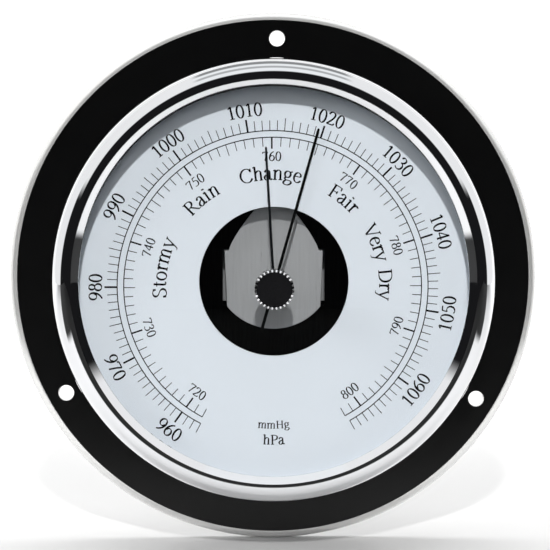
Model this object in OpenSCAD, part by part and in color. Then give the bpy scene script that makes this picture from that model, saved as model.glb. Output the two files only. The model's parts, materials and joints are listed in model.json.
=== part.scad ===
// Flange-mounted aneroid barometer with an open dial.
// Every module draws in bench coordinates: x to the right and y up as seen from the front,
// z from the wall towards the viewer. on_wall() stands the whole instrument up on a wall.

/* [Case] */
// Diameter of the mounting flange
flange_d = 110; // [108:1:124]
// Thickness of the mounting flange
flange_t = 2.5; // [2.2:0.1:2.8]
// Radius of the rounded front edge of the flange
flange_edge_r = 1.8; // [0.6:0.1:2.2]
// Pitch circle of the three fixing holes
fixing_pcd = 99; // [98:0.5:101]
// Diameter of a fixing hole
fixing_hole_d = 3.2; // [3:0.1:4.2]
// How far the fixing holes are turned clockwise from upright, in degrees
fixing_turn = 0.9; // [0:0.1:1.5]
// Outside diameter of the case wall
case_d = 85; // [84.8:0.1:85.4]

/* [Bezel and glass] */
// Largest diameter of the bezel
bezel_d = 88.8; // [88.4:0.1:90]
// Height of the bezel's crest above the wall
bezel_top = 23.7; // [23.4:0.1:24.4]
// Diameter of the dial that the bezel leaves in sight
sight_d = 76; // [74:0.5:78]
// Thickness of the glass
glass_t = 1.5; // [1.4:0.1:1.7]

/* [Dial and hands] */
// Diameter of the opening in the middle of the dial
dial_hole_d = 29.5; // [28:0.1:30]
// Thickness of the dial plate
dial_t = 0.8; // [0.5:0.1:0.9]
// How far the hand axis lies below the middle of the case
axis_drop = 1; // [0:0.1:1.2]
// Length of the pressure hand from its axis to its point
hand_len = 32.3; // [30:0.1:34]
// Length of the pressure hand's tail
hand_tail = 9; // [6:0.1:12]
// Angle of the pressure hand from the top, clockwise
hand_turn = 15.8; // [-150:0.1:150]
// Length of the set hand
set_hand_len = 27.5; // [24:0.1:30]
// Angle of the set hand from the top, clockwise
set_hand_turn = -3.3; // [-180:0.1:180]

/* [Knob] */
// Diameter over the knurls of the setting knob
knob_d = 7.6; // [7:0.1:9]
// Height of the setting knob
knob_h = 6; // [4:0.1:8]
// Number of knurls round the knob
knob_knurls = 28; // [24:1:40]

/* [Movement] */
// Gear module of the sector and its pinion
gear_module = 0.2; // [0.2:0.01:0.2]
// Teeth of the pinion on the hand arbor
pinion_teeth = 12; // [12:1:12]
// Teeth that a full circle of the sector would have
sector_full_teeth = 144; // [144:12:144]
// Teeth cut on the sector
sector_teeth = 16; // [16:2:18]
// Diameter of the aneroid capsule
capsule_d = 25; // [22:0.5:25]
// Turns of the hairspring
hairspring_turns = 4; // [3:1:5]

/* [Hidden] */

$fn = 96;
running = 0.04;   // radial play of a journal in its bearing
loose = 0.1;      // radial play of a seat that is only dropped in
slit = 0.08;      // gap that keeps two moving faces apart

// Levels above the wall
floor_z = flange_t;
floor_t = 1;
base_z = floor_z + floor_t;
base_t = 1;
deck_z = base_z + base_t;
dial_z = 16.7;
dial_top = dial_z + dial_t;
glass_top = 22;
glass_z = glass_top - glass_t;
bridge_t = 0.8;
bridge_z = 12.6;

// Case
case_r = case_d / 2;
seat_r = case_r - 1.2;
wall_r = case_r - 2.2;
case_top = 19.9;
corner_r = 39.2;
corner_top = 5.5;
flange_bore_r = 39;
cover_t = 1;
cover_r = flange_bore_r - loose;
flange_screw_circle = 40.9;
cover_screw_circle = 33;
small_screw_r = 0.8;

// Bezel section
bezel_r = bezel_d / 2;
bezel_skirt_z = 5;
bezel_bulge_z = 12.7;
crest_r = bezel_r - 4.95;
crest_round = 0.25;
crest_power = 2.2;
crest_steps = 18;
sight_r = sight_d / 2;
lip_t = 0.25;

// Knob stack
knob_z = 22.6;
stem_r = 0.9;
bush_r = 1.55;
bush_bore_r = stem_r + 0.05;
glass_hole_r = bush_r + 0.05;
nut_t = 0.65;
bush_head_r = 2.6;
bush_head_t = 0.3;
knurl_depth = 0.3;
knob_back_chamfer = 0.2;
knob_chamfer = [0.38, 0.5];
knob_face_r = knob_d / 2 - knurl_depth - 0.15;
knob_face_t = 1.1;
set_hand_z = 19.4;
hand_z = 18.2;
hand_t = 0.22;

// Wheel train
sector_gap = gear_module * (sector_full_teeth + pinion_teeth) / 2;
sector_z = 5.2;
sector_t = 0.8;
arbor_r = 0.5;
pivot_r = 0.3;
bush_out_r = 1;
pressure_angle = 20;
backlash = 0.02;
tail_x = 3;
tail_y = 2.2;
shaft_r = 0.6;
shaft_z = 10.2;
drive_pin_r = 0.45;
fork_play = 0.16;
fork_depth = 1.3;

// Capsule, with its centre below the hand axis
capsule_y = -15;
capsule_r = capsule_d / 2;
capsule_mid_z = 7;
capsule_sheet = 0.25;
crown_r = 4;
crown_hole_r = crown_r + loose;
wave_pitch = 2.4;
wave_h = 0.22;
stud_r = 1.4;
leaf_z = 8.9;
leaf_t = 0.35;
leaf_root_x = 17;
collar_z = leaf_z + leaf_t + slit;

// Bridge outline
bridge_half_w = 9.85;
bridge_low_w = 9.35;
arch_half_w = 9;
arch_tip_r = 2.1;
arch_power = 1.28;
shoulder_y = 7.05;
ear_low_y = -4.2;
chin_y = -8.7;
arch_top_y = 19.4;
foot_x = 13.8;
bridge_screw_x = 12.4;
bridge_screw_ys = [-2.2, 3.4];

// Black shade round the bridge, on four posts
shade_z = 12;
shade_t = 0.4;
shade_r = 30;
shade_post_r = 1.2;
shade_post_x = 24;
shade_post_y = 8.5;

hairspring_in_r = 1.3;
hairspring_out_r = 3.9;
hairspring_z = 11.6;
hairspring_h = 0.3;
hairspring_w = 0.1;

base_r = 31;
base_screw_circle = 28;
base_screw_angles = [50, 130, 230, 310];
bracket_ys = [-29, 21.6];
adjuster_x = 24.5;
adjuster_r = 1.25;

// ---------- frames and shared shapes ----------

// Stands the bench drawing up on the wall: z forward becomes -Y.
module on_wall() rotate([90, 0, 0]) children();

// Frame of the hand axis, where the whole movement hangs.
module at_axis() on_wall() translate([0, -axis_drop, 0]) children();

module at_z(z) translate([0, 0, z]) children();

module tube(r_out, r_in, h) {
  difference() {
    cylinder(r = r_out, h = h);
    at_z(-1) cylinder(r = r_in, h = h + 2);
  }
}

// Round bar along y, centred at x and z, from y0 to y1.
module bar_y(x, z, r, y0, y1) {
  translate([x, y0, z]) rotate([-90, 0, 0]) cylinder(r = r, h = y1 - y0);
}

// Screw with a slotted cheese head; the head's underside is at z = 0 and the shank points to -z.
module cheese_screw(r, len, head_r, head_h) {
  difference() {
    union() {
      cylinder(r = head_r, h = head_h);
      at_z(-len) cylinder(r = r, h = len + 0.1);
    }
    translate([-head_r - 1, -r * 0.3, head_h * 0.55]) cube([2 * head_r + 2, r * 0.6, head_h]);
  }
}

// Blade of a hand: from the tail's end to the point, along +y.
module hand_blade(len, tail, root_w, tip_w) {
  polygon([
    [-root_w / 2, 0], [-tip_w / 2, len - tip_w], [0, len], [tip_w / 2, len - tip_w],
    [root_w / 2, 0], [root_w / 2, -tail], [-root_w / 2, -tail]
  ]);
}

// ---------- involute teeth ----------

function polar(r, a) = [r * cos(a), r * sin(a)];
function roll(base, r) = sqrt(max(0, pow(r / base, 2) - 1));
function inv_angle(base, r) = roll(base, r) * 180 / PI - atan(roll(base, r));

// Half the angle that a tooth covers at radius r.
function half_tooth(n, r) =
  let (pitch = gear_module * n / 2, base = pitch * cos(pressure_angle))
  90 / n - backlash / pitch * 90 / PI + inv_angle(base, pitch) - inv_angle(base, max(r, base));

// Outline of one tooth of an n-tooth wheel, pointing along angle a, from root_r to tip_r.
function tooth(n, a, root_r, tip_r, steps = 5) =
  let (base = gear_module * n / 2 * cos(pressure_angle), low = max(base, root_r))
  let (radii = [for (i = [0 : steps]) low + (tip_r - low) * i / steps])
  concat(
    [polar(root_r, a - half_tooth(n, low))],
    [for (r = radii) polar(r, a - half_tooth(n, r))],
    [for (i = [steps : -1 : 0]) polar(radii[i], a + half_tooth(n, radii[i]))],
    [polar(root_r, a + half_tooth(n, low))]
  );

function tip_of(n) = gear_module * (n / 2 + 0.95);
function root_of(n) = gear_module * (n / 2 - 1.2);

// ---------- case ----------

module flange_profile() {
  r = flange_d / 2;
  e = flange_edge_r;
  polygon(concat(
    [[flange_bore_r, 0], [r, 0]],
    [for (a = [0 : 10 : 90]) [r - e + e * cos(a), flange_t - e + e * sin(a)]],
    [[flange_bore_r, flange_t]]
  ));
}

module mounting_flange() {
  color([0.03, 0.03, 0.035]) on_wall() difference() {
    rotate_extrude() flange_profile();
    for (a = [90 : 120 : 330]) rotate(a - fixing_turn) translate([fixing_pcd / 2, 0, -1])
      cylinder(d = fixing_hole_d, h = flange_t + 2);
    for (a = [45 : 90 : 315]) rotate(a) translate([flange_screw_circle, 0, 0]) {
      at_z(-1) cylinder(r = small_screw_r + loose, h = flange_t + 2);
      at_z(-0.1) cylinder(r = 1.7, h = 1.3);
    }
  }
}

module case_profile() {
  polygon([
    [0, floor_z], [case_r, floor_z], [case_r, case_top], [seat_r, case_top],
    [seat_r, dial_z], [wall_r, dial_z], [wall_r, corner_top + 1], [wall_r - 0.2, corner_top],
    [corner_r, corner_top], [corner_r, base_z], [0, base_z]
  ]);
}

module case_body() {
  color([0.8, 0.81, 0.83]) on_wall() difference() {
    rotate_extrude() case_profile();
    translate([0, -axis_drop, 0]) {
      translate([0, capsule_y, floor_z - 1]) cylinder(r = 4, h = floor_t + 2);
      translate([adjuster_x, capsule_y, floor_z - 1]) cylinder(r = 2.3, h = floor_t + 2);
      for (a = base_screw_angles) rotate(a) translate([base_screw_circle, 0, floor_z - 1])
        cylinder(r = small_screw_r, h = floor_t + 2);
    }
    for (a = [0 : 120 : 240]) rotate(a + 30) translate([cover_screw_circle, 0, floor_z - 1])
      cylinder(r = small_screw_r, h = floor_t + 2);
    for (a = [45 : 90 : 315]) rotate(a) translate([flange_screw_circle, 0, floor_z - 1])
      cylinder(r = small_screw_r, h = 3.2);
  }
}

module flange_screws() {
  color("silver") on_wall() for (a = [45 : 90 : 315])
    rotate(a) translate([flange_screw_circle, 0, 1.2]) mirror([0, 0, 1])
      cheese_screw(small_screw_r, 3.4, 1.6, 0.9);
}

module back_cover() {
  color([0.1, 0.1, 0.1]) on_wall() difference() {
    at_z(floor_z - cover_t) cylinder(r = cover_r, h = cover_t);
    translate([adjuster_x, capsule_y - axis_drop, 0]) cylinder(r = 2, h = floor_z + 1);
    for (a = [0 : 120 : 240]) rotate(a + 30) translate([cover_screw_circle, 0, 0])
      cylinder(r = small_screw_r + loose, h = floor_z + 1);
    for (x = [-9 : 3 : 9]) translate([x, 26, 0]) cylinder(r = 0.6, h = floor_z + 1);
  }
}

module cover_screws() {
  color("silver") on_wall() for (a = [0 : 120 : 240])
    rotate(a + 30) translate([cover_screw_circle, 0, floor_z - cover_t]) mirror([0, 0, 1])
      cheese_screw(small_screw_r, 1.9, 1.5, 0.9);
}

// Outer face of the bezel: a quarter of a squared-off oval from the widest ring to the crest.
function bezel_outer() = [
  for (i = [0 : crest_steps]) let (a = 90 * i / crest_steps) [
    crest_r + (bezel_r - crest_r) * pow(cos(a), 2 / crest_power),
    bezel_bulge_z + (bezel_top - bezel_bulge_z) * pow(sin(a), 2 / crest_power)
  ]
];

// Inner slope: rounded over at the crest, then straight down to the lip over the glass.
function bezel_inner() = [
  for (a = [15 : 15 : 45])
    [crest_r - crest_round * sin(a), bezel_top - crest_round * (1 - cos(a))]
];

module bezel() {
  color([0.85, 0.86, 0.88]) on_wall() rotate_extrude() polygon(concat(
    [[case_r + 0.05, bezel_skirt_z], [bezel_r - 0.5, bezel_skirt_z],
     [bezel_r - 0.15, bezel_skirt_z + 0.2], [bezel_r, bezel_skirt_z + 0.6]],
    bezel_outer(),
    bezel_inner(),
    [[sight_r, glass_top + lip_t], [sight_r, glass_top], [seat_r, glass_top],
     [seat_r, case_top + 0.05], [case_r + 0.05, case_top + 0.05]]
  ));
}

module glass() {
  color([0.8, 0.9, 1, 0.3]) on_wall() difference() {
    at_z(glass_z) cylinder(r = seat_r - loose, h = glass_t);
    translate([0, -axis_drop, glass_z - 1]) cylinder(r = glass_hole_r, h = glass_t + 2);
  }
}

module glass_gasket() {
  color([0.1, 0.1, 0.1]) on_wall() at_z(case_top - 0.1)
    tube(seat_r - loose, seat_r - 0.9, glass_z - case_top + 0.1);
}

module dial_ring() {
  color([0.92, 0.93, 0.95]) on_wall() at_z(dial_top)
    tube(seat_r - loose, seat_r - 0.9, case_top - 0.1 - dial_top);
}

module dial_plate() {
  color([0.93, 0.95, 0.97]) on_wall() difference() {
    at_z(dial_z) cylinder(r = seat_r - loose, h = dial_t);
    at_z(dial_z - 1) cylinder(d = dial_hole_d, h = dial_t + 2);
  }
}

// ---------- setting knob and its hand ----------

function knurl_ring(r_out, r_in, n) = [
  for (i = [0 : 4 * n - 1])
    polar(i % 4 < 2 ? r_out : r_in, 360 / n * (floor(i / 4) + [0.02, 0.34, 0.5, 0.86][i % 4]))
];

module set_knob() {
  r = knob_d / 2;
  color([0.85, 0.86, 0.88]) at_axis() difference() {
    at_z(knob_z) intersection() {
      linear_extrude(knob_h) polygon(knurl_ring(r, r - knurl_depth, knob_knurls));
      rotate_extrude() polygon([
        [0, 0], [r - knob_back_chamfer, 0], [r, knob_back_chamfer],
        [r, knob_h - knob_chamfer[1]], [r - knob_chamfer[0], knob_h], [0, knob_h]
      ]);
    }
    at_z(knob_z - 1) cylinder(r = stem_r, h = knob_h - 0.4);
    at_z(knob_z + knob_h - knob_face_t) cylinder(r = knob_face_r, h = knob_face_t + 1);
  }
}

module knob_face() {
  color([0.05, 0.05, 0.055]) at_axis() at_z(knob_z + knob_h - knob_face_t) rotate_extrude()
    polygon([
      [0, 0], [knob_face_r, 0], [knob_face_r, knob_face_t - 0.1],
      [knob_face_r - 0.1, knob_face_t], [0, knob_face_t - 0.12]
    ]);
}

module knob_stem() {
  color("silver") at_axis() at_z(set_hand_z - 0.2)
    cylinder(r = stem_r, h = knob_z + knob_h - knob_face_t - 0.2 - set_hand_z);
}

module set_hand() {
  color([0.3, 0.31, 0.33]) at_axis() rotate(-set_hand_turn) difference() {
    union() {
      at_z(set_hand_z) linear_extrude(hand_t) hand_blade(set_hand_len, 0, 0.55, 0.4);
      at_z(set_hand_z - 0.2) cylinder(r = 1.7, h = 0.55);
    }
    at_z(set_hand_z - 1) cylinder(r = stem_r, h = 3);
  }
}

module knob_bush() {
  color([0.8, 0.68, 0.4]) at_axis() difference() {
    union() {
      at_z(glass_z - nut_t) cylinder(r = bush_r, h = glass_t + nut_t);
      at_z(glass_top) cylinder(r = bush_head_r, h = bush_head_t);
    }
    at_z(glass_z - nut_t - 1) cylinder(r = bush_bore_r, h = 6);
  }
}

module bush_nut() {
  color([0.8, 0.68, 0.4]) at_axis() at_z(glass_z - nut_t) difference() {
    cylinder(r = 2.5, h = nut_t, $fn = 6);
    at_z(-1) cylinder(r = bush_r, h = 3);
  }
}

module wave_washer() {
  color("silver") at_axis() at_z(glass_top + bush_head_t)
    tube(bush_head_r - 0.2, stem_r + 0.2, knob_z - glass_top - bush_head_t - slit);
}

// ---------- pressure hand and its arbor ----------

module pressure_hand() {
  color([0.04, 0.04, 0.04]) at_axis() rotate(-hand_turn) at_z(hand_z) difference() {
    union() {
      linear_extrude(hand_t) hand_blade(hand_len, hand_tail, 0.62, 0.5);
      cylinder(r = 1.6, h = hand_t);
    }
    at_z(-1) cylinder(r = 0.9, h = 3);
  }
}

module hand_collet() {
  color([0.8, 0.68, 0.4]) at_axis() at_z(hand_z - 0.7) tube(0.9, arbor_r, 1.1);
}

module hand_arbor() {
  color("silver") at_axis() {
    at_z(base_z + 0.2) cylinder(r = pivot_r, h = base_t + 0.2);
    at_z(deck_z + 0.2) cylinder(r = arbor_r, h = hand_z + 0.5 - deck_z - 0.2);
  }
}

module pinion() {
  n = pinion_teeth;
  color([0.8, 0.68, 0.4]) at_axis() at_z(sector_z - 0.2) difference() {
    linear_extrude(sector_t + 0.4) union() {
      circle(r = root_of(n));
      for (i = [0 : n - 1]) polygon(tooth(n, 90 + 360 / n * i, root_of(n) - 0.1, tip_of(n)));
    }
    at_z(-1) cylinder(r = arbor_r, h = 4);
  }
}

module hairspring_collet() {
  color([0.8, 0.68, 0.4]) at_axis() at_z(hairspring_z - 0.1)
    tube(1.1, arbor_r, hairspring_h + 0.2);
}

function spiral(r0, r1, turns, side) = [
  for (a = [0 : 12 : 360 * turns]) polar(r0 + (r1 - r0) * a / (360 * turns) + side, a)
];

module hairspring() {
  inner = spiral(hairspring_in_r, hairspring_out_r, hairspring_turns, 0);
  outer = spiral(hairspring_in_r, hairspring_out_r, hairspring_turns, hairspring_w);
  n = len(outer);
  color([0.3, 0.35, 0.55]) at_axis() at_z(hairspring_z) linear_extrude(hairspring_h)
    polygon(concat(inner, [for (i = [n - 1 : -1 : 0]) outer[i]]));
}

module hairspring_stud() {
  color("silver") at_axis() translate([hairspring_out_r + hairspring_w + 0.35, 0, hairspring_z - 0.1])
    cylinder(r = 0.35, h = bridge_z - hairspring_z + 0.1);
}

// ---------- sector and rocking shaft ----------

// Sector blade drawn about its own pivot, with its teeth towards -y.
module sector_blade() {
  n = sector_full_teeth;
  pitch_a = 360 / n;
  rim_r = root_of(n);
  half_a = sector_teeth / 2 * pitch_a;
  for (i = [0 : sector_teeth - 1])
    polygon(tooth(n, 270 + (i - sector_teeth / 2 + 0.5) * pitch_a, rim_r - 0.1, tip_of(n)));
  difference() {
    polygon(concat([[0, 0]], [for (a = [-half_a : 2.5 : half_a]) polar(rim_r, 270 + a)]));
    polygon(concat(
      [for (a = [-half_a * 0.62 : 2.5 : half_a * 0.62]) polar(rim_r - 2, 270 + a)],
      [polar(4, 270 + half_a * 0.5), polar(4, 270 - half_a * 0.5)]
    ));
  }
}

// Tail of the sector, from its hub to the fork round the drive pin.
module sector_tail() {
  fork_y = tail_y + 1.2;
  linear_extrude(sector_t) polygon([
    [-0.9, -1.7], [-tail_x - 1.4, tail_y - 2], [-tail_x - 1.4, fork_y],
    [-tail_x + 1.4, fork_y], [1.2, 1.5]
  ]);
}

// Open slot of the fork.
module fork_slot() {
  w = drive_pin_r + fork_play;
  translate([-tail_x - w, tail_y - fork_depth, -1]) cube([2 * w, 4, sector_t + 2]);
}

module sector_gear() {
  color([0.8, 0.68, 0.4]) at_axis() translate([0, sector_gap, sector_z]) difference() {
    union() {
      linear_extrude(sector_t) sector_blade();
      sector_tail();
      cylinder(r = 2, h = sector_t);
    }
    fork_slot();
    at_z(-1) cylinder(r = shaft_r, h = 4);
  }
}

module sector_arbor() {
  color("silver") at_axis() translate([0, sector_gap, 0]) {
    at_z(base_z + 0.2) cylinder(r = pivot_r, h = base_t + 0.2);
    at_z(deck_z + 0.2) cylinder(r = shaft_r, h = bridge_z - deck_z - 0.4);
    at_z(bridge_z - 0.3) cylinder(r = pivot_r, h = bridge_t + 0.2);
  }
}

module rocking_shaft() {
  color("silver") at_axis() {
    bar_y(-tail_x, shaft_z, shaft_r, bracket_ys[0] - 1.2, bracket_ys[1] + 1.2);
    bar_y(-tail_x, shaft_z, 1.1, bracket_ys[0] + 0.8 + slit, bracket_ys[0] + 1.8);
  }
}

module lift_arm() {
  color([0.8, 0.68, 0.4]) at_axis() difference() {
    union() {
      bar_y(-tail_x, shaft_z, 1.2, capsule_y - 1, capsule_y + 1);
      translate([-tail_x, capsule_y - 0.7, shaft_z - 0.3]) cube([tail_x + 0.8, 1.4, 0.6]);
    }
    bar_y(-tail_x, shaft_z, shaft_r, capsule_y - 2, capsule_y + 2);
  }
}

module drive_arm() {
  y = sector_gap + tail_y;
  color([0.8, 0.68, 0.4]) at_axis() difference() {
    union() {
      bar_y(-tail_x, shaft_z, 1.2, y - 0.8, y + 0.8);
      translate([-tail_x, y, sector_z - 0.3])
        cylinder(r = drive_pin_r, h = shaft_z - sector_z - 0.3);
    }
    bar_y(-tail_x, shaft_z, shaft_r, y - 2, y + 2);
  }
}

// ---------- movement frame ----------

module movement_base() {
  color([0.07, 0.07, 0.08]) at_axis() difference() {
    at_z(base_z) cylinder(r = base_r, h = base_t);
    for (y = [0, sector_gap]) translate([0, y, 0]) cylinder(r = bush_out_r, h = 9);
    translate([0, capsule_y, 0]) cylinder(r = stud_r, h = 9);
    translate([adjuster_x, capsule_y, 0]) cylinder(r = 1.6, h = 9);
    for (a = base_screw_angles) rotate(a) translate([base_screw_circle, 0, 0])
      cylinder(r = small_screw_r + loose, h = 9);
    for (s = [-1, 1], y = bridge_screw_ys) translate([s * bridge_screw_x, y, 0])
      cylinder(r = small_screw_r, h = 9);
    at_shade_posts() cylinder(r = small_screw_r, h = 9);
    for (y = bracket_ys) translate([0.6, y, 0]) cylinder(r = small_screw_r, h = 9);
    for (y = [-2, 2]) translate([leaf_root_x + 1, capsule_y + y, 0])
      cylinder(r = small_screw_r, h = 9);
  }
}

module base_screws() {
  color("silver") at_axis() for (a = base_screw_angles)
    rotate(a) translate([base_screw_circle, 0, deck_z])
      cheese_screw(small_screw_r, base_t + floor_t, 1.7, 0.9);
}

// Front face of the bridge: a pointed arch above the shoulders, a rounded chin below.
module bridge_outline() {
  drop = ear_low_y - chin_y;
  chin_r = (pow(bridge_low_w, 2) + pow(drop, 2)) / (2 * drop);
  chin_a = asin(bridge_low_w / chin_r);
  steps = [for (t = [0 : 8]) t / 8];
  function arch_x(t) = (arch_half_w - arch_tip_r) * (1 - pow(t, arch_power)) + arch_tip_r;
  function arch_y(t) = shoulder_y + (arch_top_y - arch_tip_r - shoulder_y) * t;
  polygon(concat(
    [for (t = [0 : 12]) let (a = 270 - chin_a + 2 * chin_a * t / 12)
      [chin_r * cos(a), chin_y + chin_r + chin_r * sin(a)]],
    [[bridge_half_w, shoulder_y], [arch_half_w, shoulder_y]],
    [for (t = steps) [arch_x(t), arch_y(t)]],
    [for (a = [10 : 10 : 170]) [arch_tip_r * cos(a), arch_y(1) + arch_tip_r * sin(a)]],
    [for (i = [8 : -1 : 0]) [-arch_x(steps[i]), arch_y(steps[i])]],
    [[-arch_half_w, shoulder_y], [-bridge_half_w, shoulder_y]]
  ));
}

// Side wall and foot of the bridge on its right, both leaning with the tapered edge.
module bridge_side() {
  y = ear_low_y + 0.6;
  low_x = bridge_low_w + (bridge_half_w - bridge_low_w) * (y - ear_low_y) / (shoulder_y - ear_low_y);
  at_z(deck_z) linear_extrude(bridge_z - deck_z + 0.1) polygon([
    [bridge_half_w - bridge_t, shoulder_y], [bridge_half_w, shoulder_y], [low_x, y],
    [low_x - bridge_t, y]
  ]);
  at_z(deck_z) linear_extrude(bridge_t) polygon([
    [bridge_half_w - bridge_t, shoulder_y], [foot_x, shoulder_y], [foot_x, y],
    [low_x - bridge_t, y]
  ]);
}

module bridge() {
  color([0.72, 0.73, 0.74]) at_axis() difference() {
    union() {
      at_z(bridge_z) linear_extrude(bridge_t) bridge_outline();
      for (s = [0, 1]) mirror([s, 0, 0]) bridge_side();
    }
    at_z(bridge_z - 1) for (y = [0, sector_gap]) translate([0, y, 0])
      cylinder(r = bush_out_r, h = 3);
    for (s = [-1, 1], y = bridge_screw_ys) translate([s * bridge_screw_x, y, deck_z - 1])
      cylinder(r = small_screw_r + loose, h = 3);
  }
}

module bridge_screws() {
  color("silver") at_axis() for (s = [-1, 1], y = bridge_screw_ys)
    translate([s * bridge_screw_x, y, deck_z + bridge_t])
      cheese_screw(small_screw_r, 1.7, 1.3, 0.7);
}

// Puts a copy at each of the shade's four posts.
module at_shade_posts() {
  for (x = [-1, 1], y = [-1, 1]) translate([x * shade_post_x, y * shade_post_y, 0]) children();
}

module shade_plate() {
  gap = 0.4;
  color([0.05, 0.05, 0.055]) at_axis() difference() {
    at_z(shade_z) cylinder(r = shade_r, h = shade_t);
    translate([-bridge_half_w - gap, ear_low_y + 0.6 - gap, shade_z - 1])
      cube([2 * (bridge_half_w + gap), shoulder_y - ear_low_y - 0.6 + 2 * gap, shade_t + 2]);
    translate([0, sector_gap, shade_z - 1]) cylinder(r = 1.2, h = shade_t + 2);
    at_z(shade_z - 1) at_shade_posts() cylinder(r = small_screw_r, h = shade_t + 2);
  }
}

module shade_posts() {
  color([0.8, 0.68, 0.4]) at_axis() at_shade_posts() difference() {
    union() {
      at_z(deck_z) cylinder(r = shade_post_r, h = shade_z - deck_z);
      at_z(base_z + 0.1) cylinder(r = small_screw_r, h = base_t);
    }
    at_z(shade_z - 2.2) cylinder(r = 0.5, h = 3);
  }
}

module shade_screws() {
  color("silver") at_axis() at_shade_posts() at_z(shade_z + shade_t)
    cheese_screw(0.5, 2.3, 1.3, 0.5);
}

module pivot_bushes() {
  color([0.8, 0.68, 0.4]) at_axis() {
    for (y = [0, sector_gap]) translate([0, y, base_z])
      tube(bush_out_r, pivot_r + running, base_t);
    translate([0, sector_gap, bridge_z]) tube(bush_out_r, pivot_r + running, bridge_t);
  }
}

module front_bush() {
  color([0.8, 0.68, 0.4]) at_axis() at_z(bridge_z)
    tube(bush_out_r, arbor_r + running, bridge_t + 0.3);
}

module rocker_brackets() {
  color([0.72, 0.73, 0.74]) at_axis() for (y = bracket_ys) difference() {
    translate([-tail_x, y - 0.8, deck_z]) {
      translate([-1.6, 0, 0]) cube([3.2, 1.6, shaft_z - deck_z + 1.4]);
      translate([-1.6, 0, 0]) cube([7, 1.6, 0.9]);
    }
    bar_y(-tail_x, shaft_z, shaft_r + running, y - 2, y + 2);
    translate([0.6, y, deck_z - 1]) cylinder(r = 0.6, h = 3);
  }
}

module bracket_screws() {
  color("silver") at_axis() for (y = bracket_ys)
    translate([0.6, y, deck_z + 0.9]) cheese_screw(0.6, 1.7, 0.75, 0.5);
}

// ---------- capsule and main spring ----------

// Height of the corrugated sheet over the rim plane at radius r.
function sheet_h(r) =
  0.3 + 1.15 * (capsule_r - 0.9 - r) / (capsule_r - 0.9 - crown_r)
  + wave_h * sin(360 * (r - crown_r) / wave_pitch);

// One half of the capsule from radius r_in out to the rim, standing on z = 0.
module diaphragm(r_in) {
  r_out = capsule_r - 0.9;
  steps = 28;
  radii = [for (i = [0 : steps]) r_in + (r_out - r_in) * i / steps];
  rotate_extrude() polygon(concat(
    [for (r = radii) [r, sheet_h(r)]],
    [[r_out + 0.1, capsule_sheet], [capsule_r, capsule_sheet], [capsule_r, 0], [r_out - 0.2, 0]],
    [for (i = [steps : -1 : 0]) [radii[i], max(0.02, sheet_h(radii[i]) - capsule_sheet)]]
  ));
}

module capsule_upper() {
  color([0.75, 0.72, 0.62]) at_axis() translate([0, capsule_y, capsule_mid_z])
    diaphragm(crown_hole_r);
}

module capsule_lower() {
  color([0.75, 0.72, 0.62]) at_axis() translate([0, capsule_y, capsule_mid_z]) mirror([0, 0, 1])
    union() {
      diaphragm(crown_r - 0.1);
      at_z(sheet_h(crown_r) - capsule_sheet) cylinder(r = crown_r, h = capsule_sheet);
    }
}

module capsule_crown() {
  z = capsule_mid_z + sheet_h(crown_r) - capsule_sheet;
  color([0.8, 0.68, 0.4]) at_axis() translate([0, capsule_y, 0]) {
    at_z(z) cylinder(r = crown_r, h = capsule_sheet);
    at_z(z + capsule_sheet - 0.05) cylinder(r = 0.8, h = collar_z - z);
    at_z(collar_z) cylinder(r = 1.6, h = 0.3);
    at_z(collar_z + 0.3) cylinder(r1 = 0.8, r2 = 0.3, h = shaft_z - 0.3 - 0.12 - collar_z - 0.3);
  }
}

module capsule_stud() {
  z = capsule_mid_z - sheet_h(crown_r);
  color("silver") at_axis() translate([0, capsule_y, 0]) {
    at_z(floor_z + 0.1) cylinder(r = stud_r, h = z - floor_z - 0.1);
    at_z(deck_z) cylinder(r = 2.4, h = z - deck_z);
  }
}

module capsule_nut() {
  color([0.8, 0.68, 0.4]) at_axis() translate([0, capsule_y, floor_z + 0.15]) difference() {
    cylinder(r = 2.9, h = base_z - floor_z - 0.15, $fn = 6);
    at_z(-1) cylinder(r = stud_r, h = 4);
  }
}

module main_spring() {
  w = 6;
  color([0.25, 0.3, 0.5]) at_axis() translate([0, capsule_y, leaf_z]) difference() {
    union() {
      translate([-1.4, -2.2, 0]) cube([4, 4.4, leaf_t]);
      linear_extrude(leaf_t) polygon([
        [2, -2.2], [leaf_root_x - 3, -w / 2], [leaf_root_x + 3, -w / 2],
        [leaf_root_x + 3, w / 2], [leaf_root_x - 3, w / 2], [2, 2.2]
      ]);
    }
    at_z(-1) cylinder(r = 0.8 + loose, h = 3);
    for (y = [-2, 2]) translate([leaf_root_x + 1, y, -1]) cylinder(r = small_screw_r + loose, h = 3);
  }
}

module spring_bracket() {
  color([0.72, 0.73, 0.74]) at_axis() translate([0, capsule_y, 0]) difference() {
    union() {
      translate([leaf_root_x - 2, -3.2, deck_z]) cube([5.2, 6.4, leaf_z - slit - deck_z]);
      translate([leaf_root_x + 3, -2.4, deck_z + 1.2]) cube([7, 4.8, 1.6]);
    }
    translate([adjuster_x, 0, deck_z]) cylinder(r = adjuster_r + running, h = 6);
    for (y = [-2, 2]) translate([leaf_root_x + 1, y, deck_z - 1]) cylinder(r = small_screw_r, h = 6);
  }
}

module spring_clamp() {
  z = leaf_z + leaf_t + slit;
  color([0.72, 0.73, 0.74]) at_axis() translate([0, capsule_y, z]) difference() {
    translate([leaf_root_x - 2, -3.2, 0]) cube([5.2, 6.4, 0.9]);
    for (y = [-2, 2]) translate([leaf_root_x + 1, y, -1]) cylinder(r = small_screw_r, h = 3);
  }
}

module clamp_screws() {
  z = leaf_z + leaf_t + slit + 0.9;
  color("silver") at_axis() for (y = [-2, 2])
    translate([leaf_root_x + 1, capsule_y + y, z])
      cheese_screw(small_screw_r, z - base_z - 0.3, 1.35, 0.8);
}

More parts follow.
